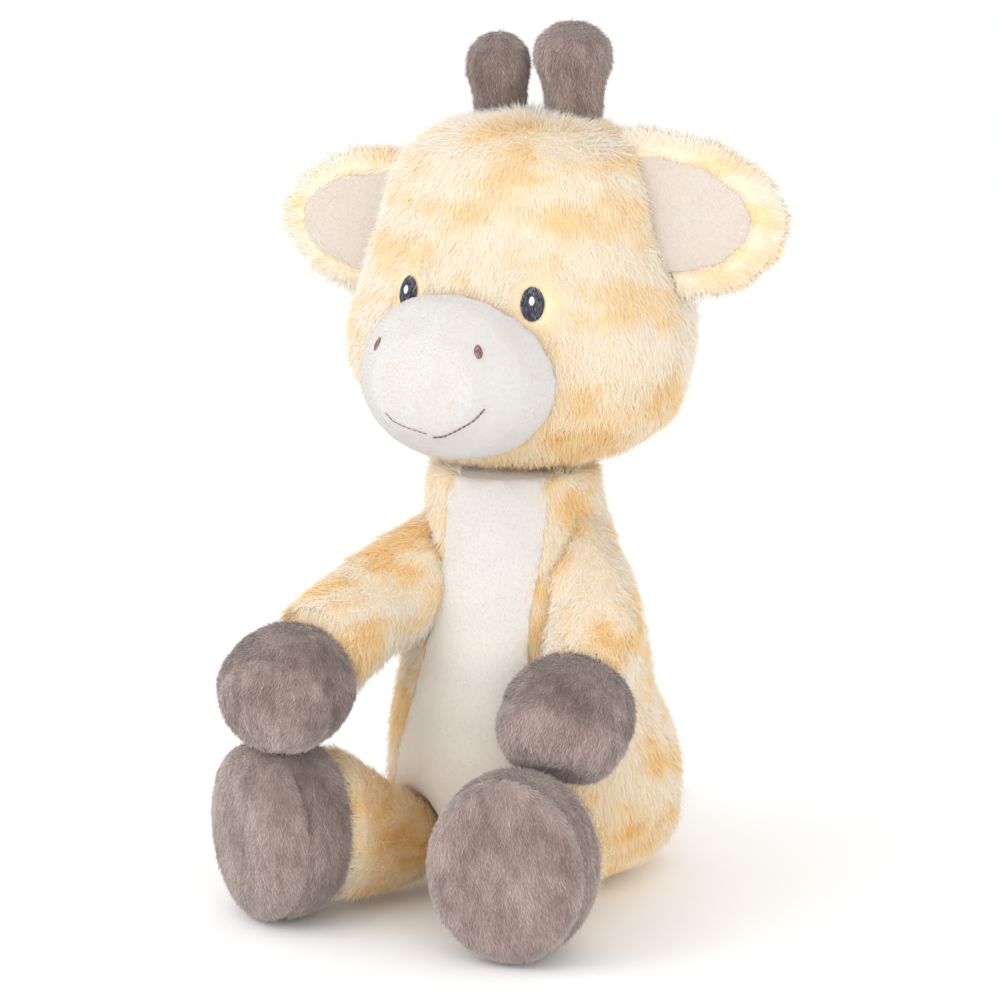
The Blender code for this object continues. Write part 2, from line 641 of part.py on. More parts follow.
def make_leg(side, floor, fur, filling, velboa):
    """Leg cover and stuffing with a ball at the hip, a stuffed foot and its sole."""
    word = "left" if side > 0 else "right"
    hip = hip_place(side)
    turn = LEFT_FOOT_TURN if side > 0 else RIGHT_FOOT_TURN
    reach = LEFT_LEG_REACH if side > 0 else RIGHT_LEG_REACH
    level = Vector((side * math.sin(turn), -math.cos(turn), 0.0))
    centre = Vector((hip.x, hip.y, FOOT_HEIGHT / 2 - FLAT_DEPTH)) + level * reach
    heel, toe = centre - level * FOOT_LENGTH / 2, centre + level * FOOT_LENGTH / 2
    slope = (heel - hip).normalized()
    ankle = heel + level * FOOT_LENGTH * ANKLE_INSET_SHARE
    swell = ANKLE_RADIUS / HIP_RADIUS - 1.0
    widths = [(place, 1.0 + share * swell) for place, share in LEG_SWELL_SHARES]
    limb = Form([hip - slope * HIP_RADIUS, hip, (hip + ankle) / 2, ankle], LEFT, HIP_RADIUS, widths,
                start=HIP_RADIUS)
    foot = Form([heel, toe], level.cross(UP), FOOT_WIDTH / 2, FOOT_WIDTH_SHARES,
                FOOT_HEIGHT / FOOT_WIDTH, start=FOOT_LENGTH * FOOT_HEEL_SHARE, end=SOLE_THICKNESS,
                start_square=FOOT_HEEL_SQUARENESS, end_square=FOOT_TOE_SQUARENESS,
                rows=ROWS_SHORT, sides=SIDES_WIDE)
    cover = sleeve(f"leg_{word}", limb, fur)
    stuffing = filled(f"leg_stuffing_{word}", limb, filling)
    seam = foot.length - SOLE_THICKNESS
    upper = solid(f"foot_{word}", foot, velboa, 0.0, None, seam - SEAM_GAP)
    sole = solid(f"sole_{word}", foot, velboa, 0.0, seam)
    foot_limit = cutter(f"foot_limit_{word}", foot, SEAM_GAP)
    for piece in (cover, stuffing):
        cut(piece, foot_limit)
    for piece in (upper, sole):
        cut(piece, floor)
    hang_on(f"hip_{word}", hip, (cover, stuffing, upper, sole))
    return cutter(f"foot_reach_{word}", foot, MITT_GAP), cutter(f"leg_reach_{word}", limb, MITT_GAP)


def make_tail(body_limit, fur, velboa):
    """A short tail lying behind the seat, with a tuft."""
    body = body_form()
    width = body.radius * between(body.shares, TAIL_RISE / body.length)
    root = Vector((0.0, width, TAIL_RISE))
    low = TUFT_RADIUS + SEAM_GAP
    middle = Vector((0.0, width + TAIL_LENGTH * TAIL_BEND_SHARE, (TAIL_RISE + low) / 2))
    end = Vector((0.0, width + TAIL_LENGTH * TAIL_REACH_SHARE, low))
    facing = Matrix.Rotation(TAIL_TWIST, 3, FRONT) @ LEFT
    strand = Form([root + FRONT * TAIL_RADIUS, root, middle, end], facing, TAIL_RADIUS,
                  start=TAIL_RADIUS, sides=SIDES_SMALL)
    tail = solid("tail", strand, fur)
    tip = end - FRONT * SEAM_GAP
    tuft = Form([tip, tip - FRONT * TUFT_LENGTH], LEFT, TUFT_RADIUS, TUFT_WIDTH_SHARES,
                start=TUFT_LENGTH * TUFT_ROOT_SHARE, end=TUFT_LENGTH * TUFT_TIP_SHARE, rows=1,
                sides=SIDES_SMALL)
    brush = solid("tail_tuft", tuft, velboa)
    cut(tail, cutter("tuft_limit", tuft, SEAM_GAP))
    cut_through_swing((tail,), body_limit, root, UP, (0.0, -TAIL_SWING, TAIL_SWING))
    hang_on("tail_seam", root, (tail, brush))


def build():
    for old in list(bpy.data.objects):
        bpy.data.objects.remove(old, do_unlink=True)
    fur = fabric("butter_fur", (0.93, 0.82, 0.60), 0.95)
    velour = fabric("cream_velour", (0.92, 0.88, 0.84), 0.9)
    velboa = fabric("taupe_velboa", (0.30, 0.24, 0.21), 0.85)
    filling = fabric("white_filling", (0.90, 0.90, 0.88), 1.0)
    linen = fabric("pellet_linen", (0.72, 0.68, 0.60), 0.9)
    thread = fabric("dark_thread", (0.05, 0.055, 0.065), 0.7)
    hips = [ball(f"hip_opening_{word}", hip_place(side), HIP_RADIUS + HIP_CLEARANCE)
            for side, word in ((1, "left"), (-1, "right"))]
    body_limit, floor = make_body(fur, velour, filling, linen, hips)
    head, head_limit, face = make_head(fur, velour, filling, thread)
    neck = Vector((0.0, -BODY_LEAN, BODY_HEIGHT))
    hang_on("neck", neck, face)
    for side in (1, -1):
        make_ear(side, head, head_limit, fur, velour)
        make_horn(side, head, head_limit, velboa)
        leg_limits = make_leg(side, floor, fur, filling, velboa)
        make_arm(side, body_limit, leg_limits, fur, filling, velboa)
    make_tail(body_limit, fur, velboa)


build()
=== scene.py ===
import json
import math
import random

import bmesh
import bpy
import numpy as np
from mathutils import Matrix, Vector, noise
from mathutils.bvhtree import BVHTree


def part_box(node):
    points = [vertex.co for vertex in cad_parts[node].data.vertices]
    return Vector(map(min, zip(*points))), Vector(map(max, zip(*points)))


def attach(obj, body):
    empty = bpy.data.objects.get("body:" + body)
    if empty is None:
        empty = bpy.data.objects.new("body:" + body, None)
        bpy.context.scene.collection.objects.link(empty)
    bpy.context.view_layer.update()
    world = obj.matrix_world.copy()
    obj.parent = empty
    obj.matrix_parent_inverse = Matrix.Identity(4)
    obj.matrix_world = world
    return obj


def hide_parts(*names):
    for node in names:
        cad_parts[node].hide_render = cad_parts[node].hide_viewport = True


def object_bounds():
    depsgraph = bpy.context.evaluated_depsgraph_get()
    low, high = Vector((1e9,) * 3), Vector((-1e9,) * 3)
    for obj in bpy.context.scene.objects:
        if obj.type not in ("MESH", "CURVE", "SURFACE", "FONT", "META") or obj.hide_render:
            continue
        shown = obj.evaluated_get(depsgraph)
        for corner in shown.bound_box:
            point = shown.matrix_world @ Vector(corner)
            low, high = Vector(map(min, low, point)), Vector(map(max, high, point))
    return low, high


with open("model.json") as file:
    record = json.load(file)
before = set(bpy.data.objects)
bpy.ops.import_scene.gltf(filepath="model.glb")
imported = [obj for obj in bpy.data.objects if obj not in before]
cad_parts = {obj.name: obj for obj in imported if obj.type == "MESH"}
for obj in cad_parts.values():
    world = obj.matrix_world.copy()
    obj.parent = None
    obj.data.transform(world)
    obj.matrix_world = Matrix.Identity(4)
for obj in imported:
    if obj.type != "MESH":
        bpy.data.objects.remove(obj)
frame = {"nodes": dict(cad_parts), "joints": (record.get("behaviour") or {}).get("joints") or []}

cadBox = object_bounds()
scene = bpy.context.scene
random.seed(11)

mm = 0.001
up = Vector((0, 0, 1))
front = Vector((0, -1, 0))


# colours are written as they look, and turned linear here
def linear(red, green, blue):
    def one(c):
        c = c / 255
        return c / 12.92 if c <= 0.04045 else ((c + 0.055) / 1.055) ** 2.4
    return (one(red), one(green), one(blue), 1.0)


def middleOf(node):
    low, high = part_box(node)
    return (low + high) / 2


def jointPlace(name):
    return Vector(next(j for j in frame["joints"] if j["name"] == name)["pos_m"])


# camera at the photo's view, and a soft white studio
cameraSet = {"azimuth": 27.0, "elevation": 11.0, "distance": 1.25, "lens": 106.2, "sensor": 36,
             "aside": -0.015, "height": 0.161, "farthest": 50}


def makeCamera():
    turn, lift = math.radians(cameraSet["azimuth"]), math.radians(cameraSet["elevation"])
    right = Vector((math.cos(turn), math.sin(turn), 0))
    toward = Vector((math.sin(turn) * math.cos(lift), -math.cos(turn) * math.cos(lift), math.sin(lift)))
    target = right * cameraSet["aside"] + up * cameraSet["height"]
    data = bpy.data.cameras.new("camera")
    data.lens = cameraSet["lens"]
    data.sensor_width = cameraSet["sensor"]
    data.clip_end = cameraSet["farthest"]
    camera = bpy.data.objects.new("camera", data)
    scene.collection.objects.link(camera)
    camera.location = target + toward * cameraSet["distance"]
    camera.rotation_euler = (-toward).to_track_quat("-Z", "Y").to_euler()
    scene.camera = camera


# each lamp: where it is, its power and its size
lampSet = {"key": ((-1.0, -1.3, 1.0), 12.4, 1.3), "fill": ((1.2, -1.3, 0.25), 16.0, 1.4)}
studioSet = {"aim": (0, 0, 0.16), "world": 1.06, "floorSize": 40, "floorGap": 0.2 * mm,
             "paper": (0.95, 0.95, 0.95, 1)}


def makeLamp(name, place, power, size):
    data = bpy.data.lights.new(name, "AREA")
    data.energy = power
    data.size = size
    lamp = bpy.data.objects.new(name, data)
    scene.collection.objects.link(lamp)
    lamp.location = place
    lamp.rotation_euler = (Vector(studioSet["aim"]) - Vector(place)).to_track_quat("-Z", "Y").to_euler()


# a node with its settings; an input is linked from a socket or given a value
def addNode(tree, kind, inputs=(), **settings):
    made = tree.nodes.new(kind)
    for key, value in settings.items():
        setattr(made, key, value)
    for place, value in inputs:
        if isinstance(value, bpy.types.NodeSocket):
            tree.links.new(value, made.inputs[place])
        else:
            made.inputs[place].default_value = value
    return made


# the camera, gloss and glass see plain white, and the toy is lit by the world as usual
def makeWorld():
    world = bpy.data.worlds.new("studio")
    scene.world = world
    world.use_nodes = True
    tree = world.node_tree
    light = tree.nodes["Background"]
    light.inputs["Color"].default_value = (1, 1, 1, 1)
    light.inputs["Strength"].default_value = studioSet["world"]
    white = addNode(tree, "ShaderNodeBackground", [("Color", (1, 1, 1, 1)), ("Strength", 1.0)])
    path = addNode(tree, "ShaderNodeLightPath").outputs
    gloss = addNode(tree, "ShaderNodeMath", [(0, path["Is Glossy Ray"]), (1, path["Is Transmission Ray"])],
                    operation="MAXIMUM")
    seen = addNode(tree, "ShaderNodeMath", [(0, path["Is Camera Ray"]), (1, gloss.outputs[0])],
                   operation="MAXIMUM")
    choose = addNode(tree, "ShaderNodeMixShader", [(0, seen.outputs[0]), (1, light.outputs[0]),
                                                   (2, white.outputs[0])])
    tree.links.new(choose.outputs[0], tree.nodes["World Output"].inputs["Surface"])


# a white studio whose floor is paper white, so that only the contact shadow shows
def makeStudio():
    makeWorld()
    for name, lamp in lampSet.items():
        makeLamp(name, *lamp)
    form = bmesh.new()
    bmesh.ops.create_grid(form, x_segments=1, y_segments=1, size=studioSet["floorSize"])
    floor = meshObject("floor", form)
    floor.location.z = cadBox[0][2] - studioSet["floorGap"]
    paper = paintOf("paperFloor", studioSet["paper"], roughness=0.9, sheen=0.0, gloss=0.0)
    floor.data.materials.append(paper)
    scene.view_settings.view_transform = "Standard"


def paintOf(name, colour, roughness, sheen, gloss):
    material = bpy.data.materials.new(name)
    material.use_nodes = True
    values = {"Base Color": colour, "Roughness": roughness, "Sheen Weight": sheen,
              "Specular IOR Level": gloss}
    for key, value in values.items():
        material.node_tree.nodes["Principled BSDF"].inputs[key].default_value = value
    return material


def meshObject(name, form):
    data = bpy.data.meshes.new(name)
    form.to_mesh(data)
    form.free()
    data.shade_smooth()
    thing = bpy.data.objects.new(name, data)
    scene.collection.objects.link(thing)
    return thing


# what the modifiers make becomes the piece's own mesh
def finalMesh(thing):
    graph = bpy.context.evaluated_depsgraph_get()
    graph.update()
    made = bpy.data.meshes.new_from_object(thing.evaluated_get(graph), preserve_all_data_layers=True,
                                           depsgraph=graph)
    old = thing.data
    thing.modifiers.clear()
    thing.data = made
    made.name = thing.name
    bpy.data.meshes.remove(old)
    return thing


# one closed skin round several CAD solids, as fine as its voxel
def skinRound(name, nodes, voxel, shrink, smoothing):
    form = bmesh.new()
    for node in nodes:
        copy = frame["nodes"][node].data.copy()
        form.from_mesh(copy)
        bpy.data.meshes.remove(copy)
    bmesh.ops.remove_doubles(form, verts=form.verts, dist=0.01 * mm)
    thing = meshObject(name, form)
    thing.data.materials.clear()
    remesh = thing.modifiers.new("remesh", "REMESH")
    remesh.mode = "VOXEL"
    remesh.voxel_size = voxel
    remesh.use_smooth_shade = True
    finalMesh(thing)
    keepLargest(thing)
    smooth = thing.modifiers.new("smooth", "SMOOTH")
    smooth.factor = 0.6
    smooth.iterations = smoothing
    if shrink:
        draw = thing.modifiers.new("shrink", "DISPLACE")
        draw.mid_level = 0.0
        draw.strength = -shrink
    return finalMesh(thing)


# a remesh of a hollow cover leaves an inner wall, which goes
def keepLargest(thing):
    form = bmesh.new()
    form.from_mesh(thing.data)
    form.verts.ensure_lookup_table()
    unseen, groups = set(form.verts), []
    while unseen:
        start = unseen.pop()
        group, edge = {start}, [start]
        while edge:
            point = edge.pop()
            for line in point.link_edges:
                other = line.other_vert(point)
                if other in unseen:
                    unseen.discard(other)
                    group.add(other)
                    edge.append(other)
        groups.append(group)
    groups.sort(key=len)
    spare = [point for group in groups[:-1] for point in group]
    if spare:
        bmesh.ops.delete(form, geom=spare, context="VERTS")
    form.to_mesh(thing.data)
    form.free()


def clamp(values):
    return np.clip(values, 0, 1)


# from 0 to 1 where the values go from a start over a reach
def ramp(values, start, reach):
    return clamp((values - start) / reach)


def vectorsOf(thing, kind):
    found = np.empty(len(thing.data.vertices) * 3, np.float32)
    thing.data.vertices.foreach_get(kind, found)
    return found.reshape(-1, 3)


def points(thing):
    return vectorsOf(thing, "co")


def normalsOf(thing):
    return vectorsOf(thing, "normal")


# a skin's points and their normals
def clothOf(thing):
    return points(thing), normalsOf(thing)


def storeFloats(mesh, name, values):
    layer = mesh.attributes.get(name) or mesh.attributes.new(name, "FLOAT", "POINT")
    layer.data.foreach_set("value", np.asarray(values, np.float32))


def storeVectors(mesh, name, values):
    layer = mesh.attributes.get(name) or mesh.attributes.new(name, "FLOAT_VECTOR", "POINT")
    layer.data.foreach_set("vector", np.asarray(values, np.float32).ravel())


def setPoints(thing, places):
    thing.data.vertices.foreach_set("co", np.asarray(places, np.float32).ravel())
    thing.data.update()


def readFloats(mesh, name):
    found = np.empty(len(mesh.vertices), np.float32)
    mesh.attributes[name].data.foreach_get("value", found)
    return found


def unit(vectors):
    return vectors / np.maximum(np.linalg.norm(vectors, axis=1, keepdims=True), 1e-9)


# the part of a flow that lies in the cloth
def inCloth(normals, flow):
    return flow - normals * (normals * flow).sum(1, keepdims=True)


def along(normals, flow):
    return unit(inCloth(normals, flow))


slantSet = {"gain": 1.7, "least": 0.12}


# how strongly the pile leans: less where the flow runs out of the cloth
def slant(normals, flow):
    lying = np.linalg.norm(inCloth(normals, unit(flow)), axis=1)
    return np.clip(lying * slantSet["gain"], slantSet["least"], 1)


seedShift = (7.3, 3.1, 5.7)


# smooth noise from -1 to 1 at each point, stretched by its three cell sizes
def wobble(places, cell, seed):
    shift = Vector([seed * apart for apart in seedShift])
    return np.array([noise.noise(Vector((p[0] / cell[0], p[1] / cell[1], p[2] / cell[2])) + shift)
                     for p in places.tolist()], np.float32)


def treeOf(thing):
    form = bmesh.new()
    form.from_mesh(thing.data)
    tree = BVHTree.FromBMesh(form)
    form.free()
    return tree


insideSet = {"heading": (0.31, 0.17, 0.93), "mostCrossings": 12, "step": 0.01 * mm}


# a place is inside a closed skin if a line from it crosses the skin an odd number of times
def isInside(spot, tree):
    crossings, start = 0, spot
    heading = Vector(insideSet["heading"]).normalized()
    while crossings < insideSet["mostCrossings"]:
        hit = tree.ray_cast(start, heading)[0]
        if hit is None:
            break
        crossings += 1
        start = hit + heading * insideSet["step"]
    return crossings % 2 == 1


# from 0 at a reach outside another skin to 1 on it
def nearTo(places, tree, reach):
    return clamp(1 + depthIn(places, tree) / reach)


# how deep each point lies inside another skin, less than zero outside it
def depthIn(places, tree):
    depths = np.empty(len(places), np.float32)
    for i, place in enumerate(places.tolist()):
        spot = Vector(place)
        near, normal, face, distance = tree.find_nearest(spot)
        inside = (spot - near).dot(normal) < 0 and isInside(spot, tree)
        depths[i] = distance if inside else -distance
    return depths


leastHold = 0.02


# the cloth is held where its strength is more than a trace
def holdSeam(thing, strength):
    group = thing.vertex_groups.new(name="seam")
    for i, weight in enumerate(strength.tolist()):
        if weight > leastHold:
            group.add([i], min(weight, 1.0), "REPLACE")


puffFrames = 20
clothSet = {"quality": 5, "mass": 0.12, "tension_stiffness": 18.0, "compression_stiffness": 18.0,
            "bending_stiffness": 0.4, "use_pressure": True}


# all the stuffed skins swell together under pressure, held along their seams
def puffUp(skins):
    before = {}
    for thing, pressure, most in skins:
        before[thing.name] = points(thing)
        cloth = thing.modifiers.new("cloth", "CLOTH")
        for key, value in clothSet.items():
            setattr(cloth.settings, key, value)
        cloth.settings.uniform_pressure_force = pressure
        cloth.settings.effector_weights.gravity = 0
        if "seam" in thing.vertex_groups:
            cloth.settings.vertex_group_mass = "seam"
        cloth.point_cache.frame_start = 1
        cloth.point_cache.frame_end = puffFrames
    for frameNumber in range(1, puffFrames + 1):
        scene.frame_set(frameNumber)
    graph = bpy.context.evaluated_depsgraph_get()
    for thing, pressure, most in skins:
        moved = points(thing.evaluated_get(graph)) - before[thing.name]
        size = np.linalg.norm(moved, axis=1, keepdims=True)
        moved *= np.minimum(1, most / np.maximum(size, 1e-9))
        print("puffed", thing.name, "most mm", round(float(size.max()) * 1000, 2))
        thing.modifiers.clear()
        setPoints(thing, before[thing.name] + moved)
    scene.frame_set(1)


def finer(thing):
    smooth = thing.modifiers.new("finer", "SUBSURF")
    smooth.levels = 1
    smooth.render_levels = 1
    finalMesh(thing)


lockSet = {"sides": 3, "wider": 1.1, "curve": 1.6, "shorter": 0.35}


# a lock of pile: a three-sided spike, one unit long, that bows over towards +X
def makeLock(name, bow, thickness, cuts, material):
    form = bmesh.new()
    bmesh.ops.create_cone(form, cap_ends=False, segments=lockSet["sides"], radius1=thickness / 2, radius2=0,
                          depth=1)
    bmesh.ops.translate(form, verts=form.verts, vec=(0, 0, 0.5))
    bmesh.ops.remove_doubles(form, verts=form.verts, dist=1e-5)
    for i in range(cuts):
        bmesh.ops.bisect_plane(form, geom=form.verts[:] + form.edges[:] + form.faces[:],
                               plane_co=(0, 0, (i + 1) / (cuts + 1)), plane_no=(0, 0, 1))
    for point in form.verts:
        h = point.co.z
        fuller = 1.0 + lockSet["wider"] * h
        point.co.x = point.co.x * fuller + bow * h ** lockSet["curve"]
        point.co.y *= fuller
        point.co.z = h * (1 - lockSet["shorter"] * bow * h)
    bmesh.ops.triangulate(form, faces=form.faces[:])
    lock = meshObject(name, form)
    lock.data.materials.append(material)
    heights = points(lock)[:, 2]
    storeFloats(lock.data, "furTip", heights / heights.max())
    lock.hide_render = True
    return lock


plantSet = {"twist": 0.7, "bendWithClump": 1.2, "shortest": 0.72, "longest": 1.12}


# pile planted on a skin, in the paint of its locks: the skin's attributes say how dense, how long,
# which way and what tone
def plantPile(thing, locks, seed, density, lean, clump, clumpCell, jitter, toneJitter):
    tree = bpy.data.node_groups.new(thing.name + "Pile", "GeometryNodeTree")
    tree.interface.new_socket("Geometry", in_out="INPUT", socket_type="NodeSocketGeometry")
    tree.interface.new_socket("Geometry", in_out="OUTPUT", socket_type="NodeSocketGeometry")
    thing.data.materials.append(locks[0].data.materials[0])

    def add(kind, inputs=(), **settings):
        return addNode(tree, kind, inputs, **settings)

    def attribute(name, kind="FLOAT"):
        return add("GeometryNodeInputNamedAttribute", [("Name", name)], data_type=kind).outputs[0]

    def maths(kind, a, b):
        return add("ShaderNodeMath", [(0, a), (1, b)], operation=kind).outputs[0]

    def sumOf(a, b):
        return add("ShaderNodeVectorMath", [(0, a), (1, b)], operation="ADD").outputs[0]

    def scaled(a, size):
        return add("ShaderNodeVectorMath", [(0, a), ("Scale", size)], operation="SCALE").outputs[0]

    def stored(geometry, name, value, kind="FLOAT"):
        return add("GeometryNodeStoreNamedAttribute",
                   [("Geometry", geometry), ("Name", name), ("Value", value)],
                   data_type=kind, domain="POINT").outputs[0]

    def chance(low, high, number, kind="FLOAT"):
        ends = {"FLOAT": (2, 3), "FLOAT_VECTOR": (0, 1), "INT": (4, 5)}[kind]
        made = add("FunctionNodeRandomValue", [(ends[0], low), (ends[1], high), ("Seed", seed + number)],
                   data_type=kind)
        return made.outputs[{"FLOAT_VECTOR": 0, "FLOAT": 1, "INT": 2}[kind]]

    entry = add("NodeGroupInput")
    spread = add("GeometryNodeDistributePointsOnFaces",
                 [("Mesh", entry.outputs[0]), ("Density", maths("MULTIPLY", attribute("pileShare"), density)),
                  ("Seed", seed)], distribute_method="RANDOM")
    place = add("GeometryNodeInputPosition").outputs[0]
    ripple = add("ShaderNodeTexNoise", [("Vector", place), ("Scale", 1 / clumpCell), ("Detail", 1.0)],
                 noise_dimensions="3D").outputs["Color"]
    ripple = scaled(sumOf(ripple, (-0.5, -0.5, -0.5)), clump)
    flow = attribute("pileFlow", "FLOAT_VECTOR")
    reach = attribute("pileLean")
    normal = spread.outputs["Normal"]
    direction = sumOf(normal, scaled(flow, maths("MULTIPLY", reach, lean)))
    direction = sumOf(direction, ripple)
    direction = sumOf(direction, chance((-jitter,) * 3, (jitter,) * 3, 1, "FLOAT_VECTOR"))
    stand = add("FunctionNodeAlignRotationToVector", [("Vector", direction)], axis="Z")
    twist = plantSet["twist"]
    bend = sumOf(flow, scaled(ripple, plantSet["bendWithClump"]))
    bend = sumOf(bend, chance((-twist,) * 3, (twist,) * 3, 2, "FLOAT_VECTOR"))
    stand = add("FunctionNodeAlignRotationToVector", [("Rotation", stand.outputs[0]), ("Vector", bend)],
                axis="X", pivot_axis="Z")
    size = maths("MULTIPLY", attribute("pileLength"), chance(plantSet["shortest"], plantSet["longest"], 3))
    tone = maths("ADD", attribute("pileTone"), chance(-toneJitter, toneJitter, 4))
    marked = stored(spread.outputs["Points"], "furTone", tone)
    marked = stored(marked, "furFacing", normal, "FLOAT_VECTOR")
    kinds = add("GeometryNodeGeometryToInstance")
    for lock in locks:
        tree.links.new(add("GeometryNodeObjectInfo", [("Object", lock)]).outputs["Geometry"], kinds.inputs[0])
    planted = add("GeometryNodeInstanceOnPoints",
                  [("Points", marked), ("Instance", kinds.outputs[0]), ("Pick Instance", True),
                   ("Instance Index", chance(0, len(locks) - 1, 5, "INT")),
                   ("Rotation", stand.outputs[0]), ("Scale", size)])
    solid = add("GeometryNodeRealizeInstances", [("Geometry", planted.outputs[0])])
    ground = stored(entry.outputs[0], "furTone", attribute("pileTone"))
    ground = stored(ground, "furFacing", add("GeometryNodeInputNormal").outputs[0], "FLOAT_VECTOR")
    both = add("GeometryNodeJoinGeometry")
    tree.links.new(solid.outputs[0], both.inputs[0])
    tree.links.new(ground, both.inputs[0])
    tree.links.new(both.outputs[0], add("NodeGroupOutput").inputs[0])
    planting = thing.modifiers.new("pile", "NODES")
    planting.node_group = tree
    finalMesh(thing)
    bpy.data.node_groups.remove(tree)
    layPileOnFloor(thing)
    mapByTone(thing)
    thing.data.shade_smooth()
    shadeAsCloth(thing)
    print("planted", thing.name, len(thing.data.polygons), "faces")


shadeSet = {"asCloth": 2.2, "isCloth": 0.999}


# pile is lit mostly as the cloth under it is, as soft fibre is
def shadeAsCloth(thing):
    mesh = thing.data
    facing = np.empty(len(mesh.vertices) * 3, np.float32)
    mesh.attributes["furFacing"].data.foreach_get("vector", facing)
    facing, own = unit(facing.reshape(-1, 3)), normalsOf(thing)
    isCloth = (facing * own).sum(1) > shadeSet["isCloth"]
    corners = np.empty(len(mesh.loops), np.int32)
    mesh.loops.foreach_get("vertex_index", corners)
    flat = np.empty(len(mesh.polygons) * 3, np.float32)
    counts = np.empty(len(mesh.polygons), np.int32)
    mesh.polygons.foreach_get("normal", flat)
    mesh.polygons.foreach_get("loop_total", counts)
    flat, facing = np.repeat(flat.reshape(-1, 3), counts, axis=0), facing[corners]
    share = shadeSet["asCloth"] * clamp((facing * flat).sum(1, keepdims=True) + 1)
    blended = np.where(isCloth[corners, None], facing, unit(facing * share + flat))
    mesh.normals_split_custom_set(blended)


pileOverFloor = 0.3 * mm


# pile that would reach through the floor lies on it
def layPileOnFloor(thing):
    places = points(thing)
    places[:, 2] = np.maximum(places[:, 2], pileOverFloor)
    setPoints(thing, places)


tableSet = {"seed": 5, "margin": 0.03, "span": 0.94, "jitter": 0.006}


# the map is a table of colours: tone across, height in the pile upward
def mapByTone(thing):
    mesh = thing.data
    tone, tip = readFloats(mesh, "furTone"), readFloats(mesh, "furTip")
    chooser = np.random.default_rng(tableSet["seed"])
    margin, span, jitter = tableSet["margin"], tableSet["span"], tableSet["jitter"]
    across = margin + span * clamp(tone) + chooser.uniform(-jitter, jitter, len(tone))
    upward = margin + span * tip + chooser.uniform(-jitter, jitter, len(tone))
    corners = np.empty(len(mesh.loops), np.int32)
    mesh.loops.foreach_get("vertex_index", corners)
    layer = mesh.uv_layers.new(name="OFBake")
    layer.data.foreach_set("uv", np.stack([across[corners], upward[corners]], 1).astype(np.float32).ravel())


def markPile(thing, share, length, flow, tone, lean=1.0):
    values = {"pileShare": share, "pileLength": length, "pileTone": tone, "pileLean": lean, "furTip": 0.0}
    for name, value in values.items():
        storeFloats(thing.data, name, np.broadcast_to(value, len(thing.data.vertices)))
    storeVectors(thing.data, "pileFlow", flow)


# colours along a source from 0 to 1
def colourRamp(tree, colours, source):
    made = addNode(tree, "ShaderNodeValToRGB", [(0, source)])
    while len(made.color_ramp.elements) < len(colours):
        made.color_ramp.elements.new(0.5)
    for element, (place, colour) in zip(made.color_ramp.elements, colours):
        element.position = place
        element.color = linear(*colour)
    return made.outputs[0]


# a pile's colour is looked up by tone, and blends from the roots to the tips; the roots are darker and warmer
# than the tips as painted shade deep in the pile
def pilePaint(name, roots, tips, roughness, sheen):
    material = paintOf(name, linear(*tips[0][1]), roughness, sheen, gloss=0.12)
    tree = material.node_tree
    shader = tree.nodes["Principled BSDF"]
    shader.inputs["Sheen Roughness"].default_value = 0.6
    tone, tip = [addNode(tree, "ShaderNodeAttribute", attribute_name=word).outputs["Fac"]
                 for word in ("furTone", "furTip")]
    blend = addNode(tree, "ShaderNodeMix", data_type="RGBA")
    for place, socket in ((0, tip), (6, colourRamp(tree, roots, tone)), (7, colourRamp(tree, tips, tone))):
        tree.links.new(socket, blend.inputs[place])
    tree.links.new(blend.outputs[2], shader.inputs["Base Color"])
    return material


def flatPaint(name, colour, roughness, sheen=0.3):
    return paintOf(name, linear(*colour), roughness, sheen, gloss=0.15)


threadSet = {"cells": (1900, 1900, 420), "steps": (0.42, 0.68)}


# embroidery thread: single stitches are darker or lighter
def threadPaint(name, dark, light, roughness):
    material = flatPaint(name, dark, roughness, sheen=0.1)
    tree = material.node_tree
    place = addNode(tree, "ShaderNodeTexCoord").outputs["Object"]
    place = addNode(tree, "ShaderNodeMapping", [("Vector", place), ("Scale", threadSet["cells"])]).outputs[0]
    cells = addNode(tree, "ShaderNodeTexNoise", [("Vector", place), ("Scale", 1.0), ("Detail", 1.0)])
    shade = colourRamp(tree, list(zip(threadSet["steps"], (dark, light))), cells.outputs[0])
    tree.links.new(shade, tree.nodes["Principled BSDF"].inputs["Base Color"])
    return material


makeCamera()
makeStudio()
print("studio ready")

# the materials of the plush: a pile has its colours at the roots and at the tips, placed by tone; the darker,
# warmer root colours are painted shade deep in the pile
furPaint = pilePaint("butterFur",
                     [(0.0, (240, 226, 200)), (0.35, (240, 208, 150)),
                      (0.65, (234, 182, 98)), (1.0, (214, 152, 72))],
                     [(0.0, (246, 243, 240)), (0.35, (247, 232, 204)),
                      (0.65, (247, 216, 152)), (1.0, (243, 198, 118))],
                     roughness=0.85, sheen=0.5)
velourPaint = pilePaint("creamVelour",
                        [(0.0, (240, 232, 222)), (0.45, (218, 212, 203)),
                         (0.8, (202, 199, 196)), (1.0, (202, 189, 176))],
                        [(0.0, (250, 244, 236)), (0.45, (231, 226, 219)),
                         (0.8, (215, 213, 211)), (1.0, (218, 207, 196))],
                        roughness=0.8, sheen=0.3)
velboaPaint = pilePaint("taupeVelboa",
                        [(0.0, (156, 137, 129)), (0.5, (124, 106, 98)), (1.0, (90, 74, 67))],
                        [(0.0, (220, 203, 196)), (0.5, (180, 161, 154)), (1.0, (124, 106, 99))],
                        roughness=0.75, sheen=0.5)
fillingPaint = flatPaint("whiteFilling", (242, 242, 238), roughness=0.95)
linenPaint = flatPaint("pelletLinen", (204, 196, 180), roughness=0.9)
eyeThreadPaint = threadPaint("charcoalThread", (48, 47, 54), (104, 104, 116), roughness=0.5)
whiteThreadPaint = flatPaint("whiteThread", (246, 246, 244), roughness=0.5, sheen=0.1)
